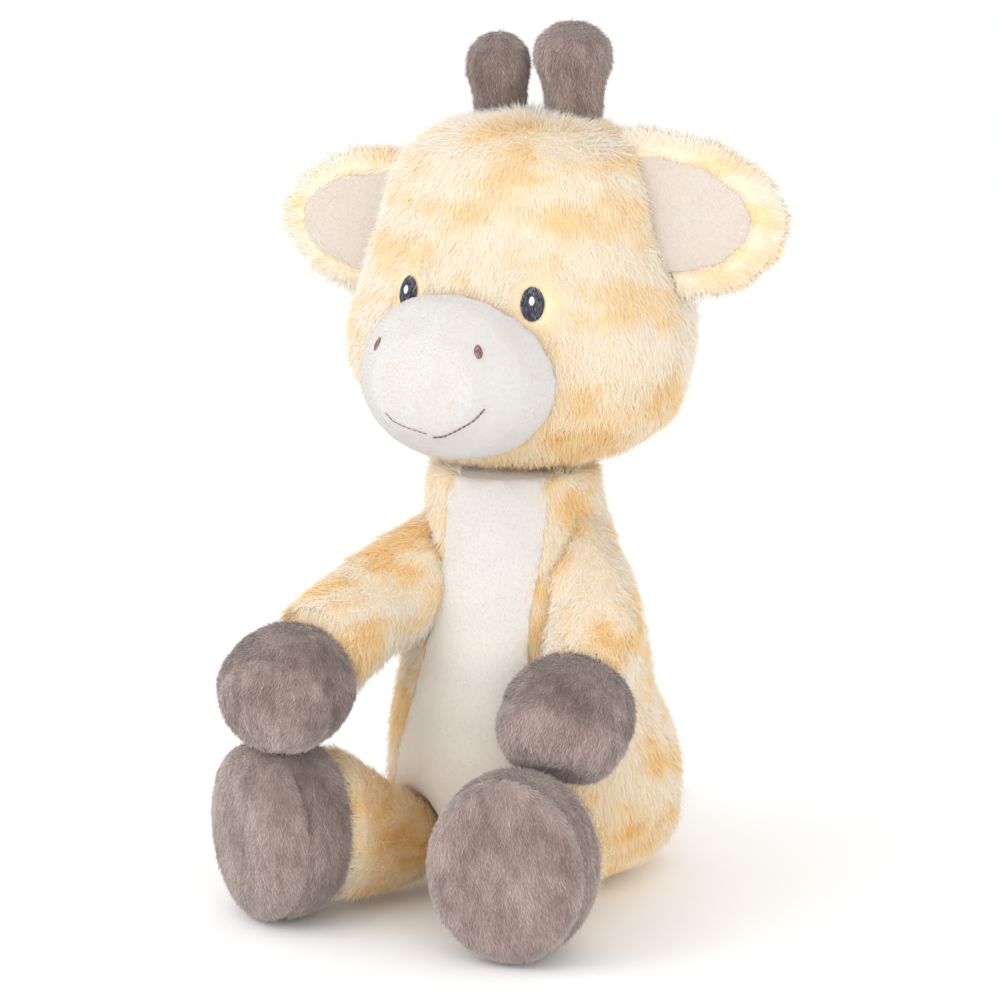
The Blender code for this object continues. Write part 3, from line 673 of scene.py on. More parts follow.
nostrilThreadPaint = threadPaint("taupeThread", (112, 80, 75), (172, 138, 130), roughness=0.55)
mouthThreadPaint = threadPaint("brownThread", (96, 76, 74), (150, 128, 122), roughness=0.6)

# each kind of lock: how far it bows over, how thick it is beside its length, and in how many places it bends
lockKinds = [(0.3, 0.054, 0), (0.5, 0.058, 0), (0.4, 0.052, 0), (0.6, 0.055, 0), (0.9, 0.052, 1)]
velourKinds = [(0.3, 0.30, 0), (0.6, 0.30, 0)]
velboaKinds = [(0.25, 0.17, 0), (0.55, 0.17, 0)]


def makeLocks(name, kinds, paint):
    return [makeLock(name + str(i), *kind, paint) for i, kind in enumerate(kinds)]


locks = makeLocks("lock", lockKinds, furPaint)
napVelour = makeLocks("napVelour", velourKinds, velourPaint)
napVelboa = makeLocks("napVelboa", velboaKinds, velboaPaint)

# skins of the stuffed pieces, a little inside the solids to leave room for their pile:
# the size of the voxels, how far inside the solids, and how often smoothed
skinSet = {"cover": (4 * mm, 1.8 * mm, 8), "muzzle": (2.6 * mm, 0.8 * mm, 14), "arm": (3.2 * mm, 2.6 * mm, 6),
           "leg": (3.2 * mm, 2.2 * mm, 6), "hand": (2.6 * mm, 0.8 * mm, 6), "foot": (2.8 * mm, 0.8 * mm, 6),
           "horn": {"left": (2.0 * mm, -1.6 * mm, 4), "right": (2.0 * mm, -0.8 * mm, 4)},
           "ear": (2.8 * mm, 2.6 * mm, 4), "lining": (0.9 * mm, 0.2 * mm, 14),
           "tail": (1.8 * mm, 1.2 * mm, 3), "tuft": (1.8 * mm, 0.5 * mm, 3)}
sides = {"left": 1, "right": -1}


# a skin for each side, round that side's solids
def skinPair(name, solids, size):
    return {s: skinRound(name + s.title(), [solid + "_" + s for solid in solids], *size) for s in sides}


body = skinRound("bodyPlush", ["body_cover", "belly_panel", "body_stuffing", "pellet_bag"], *skinSet["cover"])
head = skinRound("headPlush", ["head_cover", "head_stuffing"], *skinSet["cover"])
muzzle = skinRound("muzzleVelour", ["muzzle"], *skinSet["muzzle"])
arms = skinPair("armPlush", ["arm", "arm_stuffing"], skinSet["arm"])
legs = skinPair("legPlush", ["leg", "leg_stuffing"], skinSet["leg"])
hands = skinPair("handVelboa", ["hand_hoof"], skinSet["hand"])
feet = skinPair("footVelboa", ["foot", "sole"], skinSet["foot"])
horns = {s: skinRound("hornVelboa" + s.title(), ["horn_" + s], *skinSet["horn"][s]) for s in sides}
ears = skinPair("earPlush", ["ear", "ear_lining"], skinSet["ear"])
linings = skinPair("earLining", ["ear_lining"], skinSet["lining"])
tail = skinRound("tailPlush", ["tail"], *skinSet["tail"])
tuft = skinRound("tuftVelboa", ["tail_tuft"], *skinSet["tuft"])

# the body's neck is a little slimmer, and leans towards the giraffe's right
neckSet = {"height": (0.12, 0.05), "slimmer": 0.05, "aside": 3.5 * mm}
trunk = points(body)
neckward = ramp(trunk[:, 2], *neckSet["height"])
trunk[:, 0] = trunk[:, 0] * (1 - neckSet["slimmer"] * neckward) - neckSet["aside"] * neckward
setPoints(body, trunk)

# the body draws in under the giraffe's left arm, where the photo shows its outline
viewTurn = (0.891, 0.454)
waistSet = {"height": 0.083, "reach": 0.017, "depth": 5 * mm}
sideward = np.array([viewTurn[0], viewTurn[1], 0])
weight = clamp(normalsOf(body) @ sideward) ** 2
weight = weight * np.exp(-((trunk[:, 2] - waistSet["height"]) / waistSet["reach"]) ** 2)
trunk -= sideward * (waistSet["depth"] * weight)[:, None]
setPoints(body, trunk)

# cheeks: full and round beside the muzzle
cheekSet = {"height": 0.224, "reach": 0.020, "puff": {"left": 3 * mm, "right": 6.5 * mm}}
places, normals = clothOf(head)
for s, side in sides.items():
    outward = np.array([viewTurn[0] * side, -viewTurn[1], 0])
    weight = clamp(normals @ outward) ** 2
    weight *= np.exp(-((places[:, 2] - cheekSet["height"]) / cheekSet["reach"]) ** 2)
    places += outward * (cheekSet["puff"][s] * weight)[:, None]

# the jaw rises round the neck, most on the giraffe's left
jawSet = {"rise": 4.5 * mm, "behind": 0.013, "ring": (0.022, 0.015), "below": (-0.205, 0.025), "slope": 0.03}
jaw = ramp(np.hypot(places[:, 0], places[:, 1] + jawSet["behind"]), *jawSet["ring"])
jaw *= ramp(-places[:, 2], *jawSet["below"]) * clamp(0.5 + places[:, 0] / jawSet["slope"])
places[:, 2] += jawSet["rise"] * jaw
setPoints(head, places)
print("skins ready")


# ears: leaves that narrow and drop a little towards the tip, with roots that go into the head
earSet = {"length": 54 * mm, "narrow": 0.20, "root": 12 * mm, "rootTall": 0.03, "tall": 0.02,
          "drop": {"left": 6.0 * mm, "right": 1.0 * mm}, "longer": {"left": 0.5 * mm, "right": 8.0 * mm},
          "lift": {"left": 3.4 * mm, "right": -2.5 * mm}, "under": {"left": 0.0, "right": 2.5 * mm},
          "sunk": 7 * mm, "sunkOver": 0.45, "farthest": 1.1, "liningBack": 1.5 * mm}


def shapeEar(thing, s, side):
    root = jointPlace("ear_" + s + "_bend")
    out = (middleOf("ear_lining_" + s) - root).normalized()
    tall = out.cross(Vector((0, 1, 0))).normalized() * side
    away = points(thing) - np.array(root)
    far = np.clip(away @ np.array(out) / earSet["length"], 0, earSet["farthest"])
    high = away @ np.array(tall)
    away -= np.outer(high * earSet["narrow"] * far ** 2 + earSet["drop"][s] * far, np.array(tall))
    away += np.outer(earSet["longer"][s] * far, np.array(out))
    away -= np.outer(earSet["root"] * (1 - far) * clamp(high / earSet["rootTall"]), np.array(out))
    away -= np.outer(earSet["sunk"] * clamp(1 - far / earSet["sunkOver"]), np.array(out))
    rise = earSet["lift"][s] * (1 - far) ** 2 * clamp(high / earSet["tall"])
    rise += earSet["under"][s] * 4 * far * (1 - clamp(far)) * clamp(-high / earSet["tall"])
    away += np.outer(rise, np.array(tall))
    setPoints(thing, away + np.array(root))


for s, side in sides.items():
    shapeEar(ears[s], s, side)
    shapeEar(linings[s], s, side)
    setPoints(linings[s], points(linings[s]) + np.array([0, earSet["liningBack"], 0]))

# the right horn's knob is lower and slimmer, and the left one's leans to the right
hornSet = {"knob": (0.325, 0.02), "lower": 4 * mm, "slimmer": 0.14, "lean": 2 * mm}
knobs = points(horns["right"])
peak = ramp(knobs[:, 2], *hornSet["knob"])
knobs[:, 2] -= hornSet["lower"] * peak
knobs[:, :2] -= (knobs[:, :2] - knobs[peak > 0, :2].mean(0)) * hornSet["slimmer"] * peak[:, None] ** 2
setPoints(horns["right"], knobs)
knobs = points(horns["left"])
knobs[:, 0] -= hornSet["lean"] * ramp(knobs[:, 2], *hornSet["knob"])
setPoints(horns["left"], knobs)

photoWide = 1000


# where the line of sight through a spot of the photo's frame meets a surface
def seenAt(across, downward, tree):
    camera = scene.camera
    turn = camera.rotation_euler.to_matrix()
    wide = cameraSet["sensor"] / cameraSet["lens"]
    ray = turn @ Vector(((across / photoWide - 0.5) * wide, (0.5 - downward / photoWide) * wide, -1))
    place, normal, face, distance = tree.ray_cast(camera.location, ray.normalized())
    return place, normal


# where each sole is sewn to its foot: a level direction and how far along it the seam lies
def soleSeam(s):
    direction = middleOf("sole_" + s) - middleOf("foot_" + s)
    direction.z = 0
    direction.normalize()
    return direction, min(direction.dot(v.co) for v in frame["nodes"]["sole_" + s].data.vertices)


# how wide each seam draws the cloth in, and how deep
seamSet = {"sole": (3.4 * mm, 2.2 * mm), "mitt": (3.0 * mm, 1.6 * mm), "muzzle": (3.0 * mm, 0.8 * mm)}


# draws the cloth in along a seam, and holds it there
def drawIn(thing, gap, width, depth):
    strength = clamp(1 - gap / width)
    places, normals = clothOf(thing)
    setPoints(thing, places - normals * (depth * strength ** 1.5)[:, None])
    holdSeam(thing, strength)


for s, foot in feet.items():
    direction, seam = soleSeam(s)
    drawIn(foot, np.abs(points(foot) @ np.array(direction) - seam), *seamSet["sole"])

# each mitt's front is sewn on along a ring: three spots of it in the photo's frame
mittSeams = {"left": [(508, 700), (557, 708), (618, 732)], "right": [(244, 660), (290, 663), (330, 700)]}
mittFronts = {}
for s, hand in hands.items():
    tree = treeOf(hand)
    a, b, c = [seenAt(across, downward, tree)[0] for across, downward in mittSeams[s]]
    ahead = (b - a).cross(c - a).normalized()
    ahead *= -1 if ahead.z > 0 else 1
    mittFronts[s] = (np.array(ahead), ahead.dot(a))
    drawIn(hand, np.abs(points(hand) @ mittFronts[s][0] - mittFronts[s][1]), *seamSet["mitt"])

# the muzzle's top rises on the giraffe's right, and a seam runs down its lower middle
muzzleSet = {"rise": 2.5 * mm, "side": 0.02, "band": 0.03, "over": 0.02, "seamBelow": 0.024}
places = points(muzzle)
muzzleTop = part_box("muzzle")[1].z
risen = (clamp(-places[:, 0] / muzzleSet["side"])
         * clamp((places[:, 2] - muzzleTop + muzzleSet["band"]) / muzzleSet["over"]))
places[:, 2] += muzzleSet["rise"] * risen
setPoints(muzzle, places)
seamTop = muzzleTop - muzzleSet["seamBelow"]
drawIn(muzzle, np.abs(places[:, 0]) + np.where(places[:, 2] > seamTop, 1, 0), *seamSet["muzzle"])

# swell them together: the pressure in each, and the most that a point may move
puffSet = {"large": (2.5, 2.0 * mm), "small": (3.0, 1.5 * mm)}
smallPieces = [muzzle] + [piece for group in (arms, legs, hands, feet, horns) for piece in group.values()]
puffUp([(piece, *puffSet["large"]) for piece in (body, head)]
       + [(piece, *puffSet["small"]) for piece in smallPieces])
for piece in [body, head] + smallPieces + list(ears.values()):
    finer(piece)
print("skins swollen")

# each sole is what its foot's skin has beyond the seam
soles = {}
for s, foot in feet.items():
    direction, seam = soleSeam(s)
    sole = meshObject("soleVelboa" + s.title(), bmesh.new())
    sole.data = foot.data.copy()
    for thing, way in ((foot, 1), (sole, -1)):
        form = bmesh.new()
        form.from_mesh(thing.data)
        bmesh.ops.bisect_plane(form, geom=form.verts[:] + form.edges[:] + form.faces[:],
                               plane_co=direction * seam, plane_no=direction * way, clear_outer=True)
        form.to_mesh(thing.data)
        form.free()
    soles[s] = sole

# belly: a velour strip let into the front of the body, as wide at each share of its height as the table says
bellySet = {"low": 0.010, "tall": 0.170, "half": 0.021, "shares": [0.0, 0.10, 0.25, 0.45, 0.65, 0.85, 1.0],
            "widths": [0.85, 1.50, 1.60, 1.22, 0.99, 0.93, 0.93],
            "middleHeights": [0.03, 0.06, 0.10, 0.15], "middles": [-0.0085, -0.0065, -0.0010, 0.0035],
            "frontHeights": [0.145, 0.170], "fronts": [-0.013, -0.004], "lowest": 0.012, "outside": -0.05,
            "snap": 1.2 * mm, "spare": 0.3 * mm, "raise": 1.6 * mm, "raiseTop": 0.1765, "raiseOver": 0.010,
            "leastRaise": 0.25, "thickness": 2.6 * mm, "toothRounds": 3}


# how far inside the belly's rim each place is, and on which side of its middle
def rimOf(places):
    share = (places[:, 2] - bellySet["low"]) / bellySet["tall"]
    half = bellySet["half"] * np.interp(share, bellySet["shares"], bellySet["widths"])
    aside = places[:, 0] - np.interp(places[:, 2], bellySet["middleHeights"], bellySet["middles"])
    foremost = np.interp(places[:, 2], bellySet["frontHeights"], bellySet["fronts"])
    inFront = (places[:, 1] < foremost) & (places[:, 2] > bellySet["lowest"])
    return np.where(inFront, half - np.abs(aside), bellySet["outside"]), np.sign(aside)


bodyPlaces, bodyNormals = clothOf(body)
bodyTree = treeOf(body)
rim, way = rimOf(bodyPlaces)
belly = meshObject("bellyVelour", bmesh.new())
belly.data = body.data.copy()
belly.data.name = "bellyVelour"
snapped = bodyPlaces.copy()
for i in np.flatnonzero(np.abs(rim) < bellySet["snap"]).tolist():
    snapped[i] = bodyTree.find_nearest(Vector(bodyPlaces[i]) + Vector((way[i] * rim[i], 0, 0)))[0]
setPoints(belly, snapped)
cut = rimOf(snapped)[0]
form = bmesh.new()
form.from_mesh(belly.data)
outside = [face for face in form.faces if cut[[p.index for p in face.verts]].min() < -bellySet["spare"]]
bmesh.ops.delete(form, geom=outside, context="FACES")
for i in range(bellySet["toothRounds"]):
    teeth = [face for face in form.faces if sum(len(edge.link_faces) > 1 for edge in face.edges) < 2]
    bmesh.ops.delete(form, geom=teeth, context="FACES")
form.normal_update()
for p in form.verts:
    lifted = min(1, max(bellySet["leastRaise"], (bellySet["raiseTop"] - p.co.z) / bellySet["raiseOver"]))
    p.co += p.normal * bellySet["raise"] * lifted
form.to_mesh(belly.data)
form.free()
thick = belly.modifiers.new("thick", "SOLIDIFY")
thick.thickness = bellySet["thickness"]
thick.offset = -1
finalMesh(belly)

# each pile: how many locks on a square metre, how far they lean, how much they clump and over what distance,
# and how much their direction and their tone vary
pileSet = {"belly": (1.8e6, 1.6, 0.4, 6 * mm, 0.35, 0.08), "body": (1.7e6, 1.1, 1.0, 9 * mm, 0.35, 0.10),
           "head": (1.75e6, 1.0, 1.0, 9 * mm, 0.35, 0.10), "limb": (1.9e6, 1.1, 0.9, 8 * mm, 0.35, 0.10),
           "ear": (1.8e6, 1.2, 0.7, 7 * mm, 0.3, 0.08), "tail": (1.2e6, 1.2, 0.5, 6 * mm, 0.3, 0.08)}
down = np.array([[0, 0, -1.0]])

# the nap of the belly grows on its front only
napSet = {"length": 0.9 * mm, "facing": -0.1, "tone": 0.7, "toneTop": 0.15,
          "mottle": 0.1, "mottleCell": (0.02, 0.02, 0.012)}
bellyPlaces, bellyNormals = clothOf(belly)
# the belly's velour is lightest low down, as painted light against the shade there, and greyer towards the
# top
bellyTone = (napSet["tone"] * clamp(bellyPlaces[:, 2] / napSet["toneTop"])
             + napSet["mottle"] * wobble(bellyPlaces, napSet["mottleCell"], 3))
bellyOut = bellyNormals[:, 1] < napSet["facing"]
markPile(belly, bellyOut.astype(np.float32), napSet["length"], along(bellyNormals, down), bellyTone)
plantPile(belly, napVelour, 21, *pileSet["belly"])

blotchSet = {"broad": (0.026, 0.026, 0.0115), "fine": (0.010, 0.010, 0.0048), "fineShare": 0.5,
             "streak": (0.015, 0.015, 0.0024), "streakShare": 0.4, "more": 0.26, "soft": 0.85}


# the fur: cream with soft butter blotches that run level; the gold where it is deep or low is painted warm
# shade
def blotches(places, seed, base=0, size=1):
    broad = wobble(places, blotchSet["broad"], seed)
    fine = wobble(places, blotchSet["fine"], seed + 1)
    streak = wobble(places, blotchSet["streak"], seed + 2)
    mixed = broad + blotchSet["fineShare"] * fine + blotchSet["streakShare"] * streak + blotchSet["more"]
    edge = clamp(mixed / blotchSet["soft"])
    return base + size * (edge * edge * (3 - 2 * edge))


# no pile grows where a piece lies deep in another one, or faces it closely
hiddenSet = {"reach": 7 * mm, "facing": 0.45, "chinReach": 3 * mm, "depth": 2 * mm, "headDepth": 2.5 * mm}


def buried(places, skins, depth, normals=None, reach=hiddenSet["reach"]):
    hidden = np.zeros(len(places), bool)
    for skin in skins:
        hidden |= depthIn(places, skin) > depth
        if normals is not None:
            hidden |= pressed(places, normals, skin, reach)
    return hidden


# whether each place faces another skin closely
def pressed(places, normals, skin, reach=hiddenSet["reach"]):
    found = np.zeros(len(places), bool)
    for i, (place, normal) in enumerate(zip(places.tolist(), normals.tolist())):
        near, facing, face, distance = skin.find_nearest(Vector(place))
        ahead = (near - Vector(place)).dot(Vector(normal))
        found[i] = distance < reach and ahead > hiddenSet["facing"] * distance
    return found


headTree, muzzleTree = treeOf(head), treeOf(muzzle)
handTrees, footTrees, legTrees, hornTrees = [{s: treeOf(group[s]) for s in sides}
                                             for group in (hands, feet, legs, horns)]
furLength = 6.8 * mm

# the body's fur: none under the belly panel, short where it sits, and more golden low down as painted warm
# shade
bodySet = {"bare": (0.0015, 0.002), "seat": (0.004, 0.02), "seatShort": 0.25,
           "tone": (0.12, 0.46), "low": (0.01, 0.05), "lowShadeTone": 0.16}
hidden = buried(bodyPlaces, [headTree] + list(legTrees.values()), hiddenSet["depth"])
share = np.where(hidden, 0, 1 - ramp(rim, *bodySet["bare"]))
seat = np.maximum(ramp(bodyPlaces[:, 2], *bodySet["seat"]), bodySet["seatShort"])
low = 1 - ramp(bodyPlaces[:, 2], *bodySet["low"])
tone = blotches(bodyPlaces, 1, *bodySet["tone"]) + bodySet["lowShadeTone"] * low
markPile(body, share, furLength * seat, along(bodyNormals, down), tone, slant(bodyNormals, down))
plantPile(body, locks, 31, *pileSet["body"])

# the head's fur: longer on the crown between the horns, shorter at the chin, combed away from the eyes
faceSet = {"eye": (9.6, 13.8, 1.1), "glint": (2.1, 3.6, 0.5), "nostril": (3.3, 5.9, 0.5),
           "shift": {"left": (2.0, 0, 1.1), "right": (2.2, 0, 2.6)}}
headSet = {"chinOver": 0.012, "chinShort": 0.4, "lowFrom": 0.235, "lowOver": 0.05, "crown": (0, 0.001, 0.325),
           "crownReach": 0.026, "crownLong": 0.35, "crownPale": 0.8, "tone": 0.06, "blotch": 0.33,
           "lowBlotch": 0.25, "lowShadeTone": 0.30}
eyeSet = {"size": (0.0056, 0.02, 0.0078), "near": 1.9, "fade": 0.62, "comb": 0.9, "short": 0.22,
          "shortReach": 2.2, "dense": 0.3, "paleReach": 2.4, "pale": 0.8, "paleTone": 0.14}
places, normals = clothOf(head)
chin = nearTo(places, bodyTree, headSet["chinOver"])
hidden = buried(places, [muzzleTree] + list(hornTrees.values()), hiddenSet["headDepth"])
hidden |= buried(places, [bodyTree], hiddenSet["headDepth"], normals, hiddenSet["chinReach"])
low = clamp((headSet["lowFrom"] - places[:, 2]) / headSet["lowOver"])
fromCrown = np.linalg.norm(places - np.array(headSet["crown"]), axis=1)
crown = clamp(1 - fromCrown / headSet["crownReach"])
# the lower head's blotches and tone are more golden, as painted warm shade
tone = (headSet["blotch"] + headSet["lowBlotch"] * low) * blotches(places, 7)
tone = (headSet["tone"] + tone + headSet["lowShadeTone"] * low) * (1 - headSet["crownPale"] * crown)
flow = down + normals * 0
share = np.where(hidden, 0.0, 1.0)
length = furLength * (1 + headSet["crownLong"] * crown) * (1 - headSet["chinShort"] * chin)
for s in sides:
    away = places - (np.array(middleOf("eye_" + s)) + np.array(faceSet["shift"][s]) * mm)
    reach = np.linalg.norm(away / np.array(eyeSet["size"]), axis=1)
    share = np.where(reach < 1.0, 0, share)
    near = clamp(eyeSet["near"] - reach * eyeSet["fade"])
    flow = flow + unit(away) * (near * eyeSet["comb"])[:, None]
    length = length * (1 - eyeSet["short"] * clamp(eyeSet["shortReach"] - reach))
    share = share * (1 + eyeSet["dense"] * near)
    pale = clamp(eyeSet["paleReach"] - reach)
    tone = tone * (1 - eyeSet["pale"] * pale) + eyeSet["paleTone"] * pale
markPile(head, share, length, along(normals, flow), tone, slant(normals, flow))
plantPile(head, locks, 41, *pileSet["head"])

tuckDepth = 1.2 * mm


# a sleeve's open end is sewn into the seam of what it holds
def tuckInto(thing, tree):
    places, normals = clothOf(thing)
    for i in np.flatnonzero(pressed(places, normals, tree)).tolist():
        near, facing, face, distance = tree.find_nearest(Vector(places[i]))
        places[i] = near - facing * tuckDepth
    setPoints(thing, places)


armSet = {"inward": 7 * mm, "slope": 0.45, "wide": 8 * mm, "sink": 5.5 * mm, "reach": 14 * mm, "brushed": 0.3,
          "forward": 0.3, "smoothing": 8, "fuller": {"left": 0.0, "right": 4 * mm}, "swell": 1.3,
          "swellUp": 0.5, "run": 0.8, "sag": 0.5, "overRim": 1.2, "rootLean": 0.3, "tone": (0.08, 0.48),
          "handReach": 0.010, "handLong": 0.25, "handPale": 0.4}


# an arm's root narrows into the shoulder and spreads over the body like a gathered seam
def spreadRoot(thing, start, end, side, fuller):
    places = points(thing)
    first, run = np.array(start), np.array(end - start)
    share = clamp((places - first) @ run / (run @ run))
    places[:, 0] -= side * armSet["inward"] * clamp(1 - share / armSet["slope"])
    outward = places - first - share[:, None] * run
    swell = fuller * armSet["swell"] * share
    places += unit(outward) * swell[:, None]
    places[:, 2] += swell * armSet["swellUp"]
    for i, place in enumerate(places.tolist()):
        near, normal, face, distance = bodyTree.find_nearest(Vector(place))
        spread = Vector(outward[i])
        spread -= normal * spread.dot(normal)
        weight = max(0, 1 - distance / armSet["reach"]) * (1 - share[i]) ** 0.5
        spread.normalize()
        forward = min(max(front.dot(spread) + armSet["forward"], 0), 1)
        places[i] += np.array(spread * armSet["wide"] * forward - normal * armSet["sink"]) * weight
    setPoints(thing, places)
    smooth = thing.modifiers.new("smooth", "SMOOTH")
    smooth.iterations = armSet["smoothing"]
    finalMesh(thing)
    rootward = clamp(1 - share / armSet["brushed"])
    return unit(outward) * rootward[:, None], rootward


for s, side in sides.items():
    arm = arms[s]
    start, end = jointPlace("shoulder_" + s + "_lift"), middleOf("hand_hoof_" + s)
    overRim, rootward = spreadRoot(arm, start, end, side, armSet["fuller"][s])
    places, normals = clothOf(arm)
    flow = np.array([list((end - start).normalized() * armSet["run"])]) + armSet["sag"] * down
    flow = along(normals, flow + armSet["overRim"] * overRim)
    tone = blotches(places, 11 + side, *armSet["tone"])
    hidden = buried(places, [bodyTree], hiddenSet["depth"])
    hidden |= buried(places, [handTrees[s]], hiddenSet["depth"], normals)
    nearHand = nearTo(places, handTrees[s], armSet["handReach"])
    tuckInto(arm, handTrees[s])
    markPile(arm, np.where(hidden, 0, 1), furLength * (1 + armSet["handLong"] * nearHand), flow,
             tone * (1 - armSet["handPale"] * nearHand), 1 - armSet["rootLean"] * rootward)
    plantPile(arm, locks, 51 + side, *pileSet["limb"])

# the legs swell towards the ankles, where the feet begin
legSet = {"ankleOver": 0.03, "ankle": 4 * mm, "lowest": 0.6 * mm, "footReach": 0.014,
          "tone": (0.44, 0.40), "footPale": 0.9, "length": 6.5 * mm}
for s, side in sides.items():
    leg = legs[s]
    places, normals = clothOf(leg)
    ankle = nearTo(places, footTrees[s], legSet["ankleOver"])
    places += normals * (legSet["ankle"] * ankle)[:, None]
    places[:, 2] = np.maximum(places[:, 2], legSet["lowest"])
    setPoints(leg, places)
    normals = normalsOf(leg)
    start, end = jointPlace("hip_" + s + "_splay"), middleOf("foot_" + s)
    flow = along(normals, np.array([list((end - start).normalized())]))
    nearFoot = nearTo(places, footTrees[s], legSet["footReach"])
    # the legs' fur is golden, partly its own colour and partly painted shade, and turns cream next to the
    # feet
    tone = blotches(places, 15 + side, *legSet["tone"]) * (1 - legSet["footPale"] * nearFoot)
    hidden = buried(places, [bodyTree], hiddenSet["depth"])
    hidden |= buried(places, [footTrees[s]], hiddenSet["depth"], normals)
    tuckInto(leg, footTrees[s])
    markPile(leg, np.where(hidden, 0, 1), legSet["length"], flow, tone)
    plantPile(leg, locks, 61 + side, *pileSet["limb"])

# an ear's fur runs outward from its lining, but leans in over the lining's edge
rimSet = {"facing": -0.3, "tone": (0.02, 0.26), "onLining": 0.0005, "edgeOver": 0.012, "inwardOver": 0.003,
          "outward": 0.3, "length": 5.5, "edgeLong": 1.2, "lean": 0.25, "edgeLean": 0.95}
for s, side in sides.items():
    ear = ears[s]
    places, normals = clothOf(ear)
    centre = points(linings[s]).mean(0)
    facing = normals[:, 1] < rimSet["facing"]
    hidden = buried(places, [headTree], hiddenSet["depth"])
    tone = blotches(places, 19 + side, *rimSet["tone"])
    apart = np.maximum(-depthIn(places, treeOf(linings[s])), 0)
    onLining = facing & (apart < rimSet["onLining"])
    edge = clamp(apart / rimSet["edgeOver"])
    inward = np.where(facing, clamp(2 - apart / rimSet["inwardOver"]), 0)[:, None]
    flow = unit(places - centre) * (1 - 2 * inward) + np.array([[side * rimSet["outward"], 0, 0]])
    length = (rimSet["length"] + rimSet["edgeLong"] * edge) * mm
    lean = np.maximum(rimSet["lean"] + rimSet["edgeLean"] * edge, inward[:, 0])
    markPile(ear, np.where(hidden | onLining, 0, 1), length, along(normals, flow), tone, lean)
    plantPile(ear, locks, 71 + side, *pileSet["ear"])
print("fur planted")


# the nap's painted sheen streaks: how strong, and of what size; then lean, clump, clump's size and jitter as
# in pileSet
sheenStreakSet = [(0.7, (0.014, 0.014, 0.022)), (0.5, (0.005, 0.005, 0.009)), (0.5, (0.0022, 0.0022, 0.007))]
brushSet = (0.9, 0.6, 5 * mm, 0.4)


# brushed velboa and velour: short nap with lighter and darker streaks, painted sheen and shade where the
# brushed nap catches or loses light
def brushNap(thing, nap, seed, length, density, flow, base, streak):
    places, normals = clothOf(thing)
    sheenStreaks = [size * wobble(places, cell, seed + 2 * i) for i, (size, cell) in enumerate(sheenStreakSet)]
    tone = base + streak * (sheenStreaks[0] + sheenStreaks[1] + sheenStreaks[2])
    markPile(thing, 1, length, along(normals, np.array([list(flow)])), tone)
    plantPile(thing, nap, seed, density, *brushSet, 0.5 * streak)


# each nap: its length, how many locks on a square metre, which way it is brushed, its tone and the strength
# of its painted sheen streaks
brushed = {"muzzle": (0.8 * mm, 2.0e6, (0, -0.2, -1), 0.80, 0.10),
           "foot": (2.6 * mm, 1.7e6, (0, -0.3, -1), 0.56, 0.44),
           "sole": (2.4 * mm, 1.7e6, (0.3, 0, -1), 0.34, 0.44),
           "horn": (2.6 * mm, 1.7e6, (0, 0, -1), 0.56, 0.44),
           "tuft": (4.5 * mm, 1.5e6, (0, 1, 0), 0.5, 0.3),
           "lining": (0.8 * mm, 2.4e6, (0, 0, -1), 0.97, 0.05)}
mittSet = {"length": 2.6 * mm, "density": 1.7e6, "flow": (0, -0.6, -0.8), "streak": 0.5}
mittTone = {"front": 0.38, "behind": 0.24, "over": 0.004}
brushNap(muzzle, napVelour, 81, *brushed["muzzle"])
for s, side in sides.items():
    ahead, seam = mittFronts[s]
    behind = clamp((seam - points(hands[s]) @ ahead) / mittTone["over"] + 0.5)
    brushNap(hands[s], napVelboa, 91 + side, **mittSet, base=mittTone["front"] + mittTone["behind"] * behind)
    brushNap(feet[s], napVelboa, 95 + side, *brushed["foot"])
    brushNap(soles[s], napVelboa, 99 + side, *brushed["sole"])
    brushNap(horns[s], napVelboa, 103 + side, *brushed["horn"])

tailSet = {"length": 5 * mm, "flow": (0, 1, -0.3), "tone": (0.1, 0.4)}
tone = blotches(points(tail), 25, *tailSet["tone"])
markPile(tail, 1, tailSet["length"], along(normalsOf(tail), np.array([tailSet["flow"]])), tone)
plantPile(tail, locks, 111, *pileSet["tail"])
brushNap(tuft, napVelboa, 113, *brushed["tuft"])
print("nap planted")


# one thread: a stretched ball, from one place to another
def layThread(form, start, end, radius):
    made = bmesh.ops.create_icosphere(form, subdivisions=1, radius=1)["verts"]
    run = end - start
    turn = run.to_track_quat("Z", "Y").to_matrix().to_4x4()
    bmesh.ops.scale(form, verts=made, vec=(radius, radius, run.length / 2))
    bmesh.ops.transform(form, verts=made, matrix=Matrix.Translation((start + end) / 2) @ turn)


satinSet = {"around": 24, "upward": 12, "apart": 1.5, "shortest": 0.95, "longest": 1.10, "overlap": 0.1,
            "endJitter": 0.05, "jitter": 0.3, "over": 0.3}


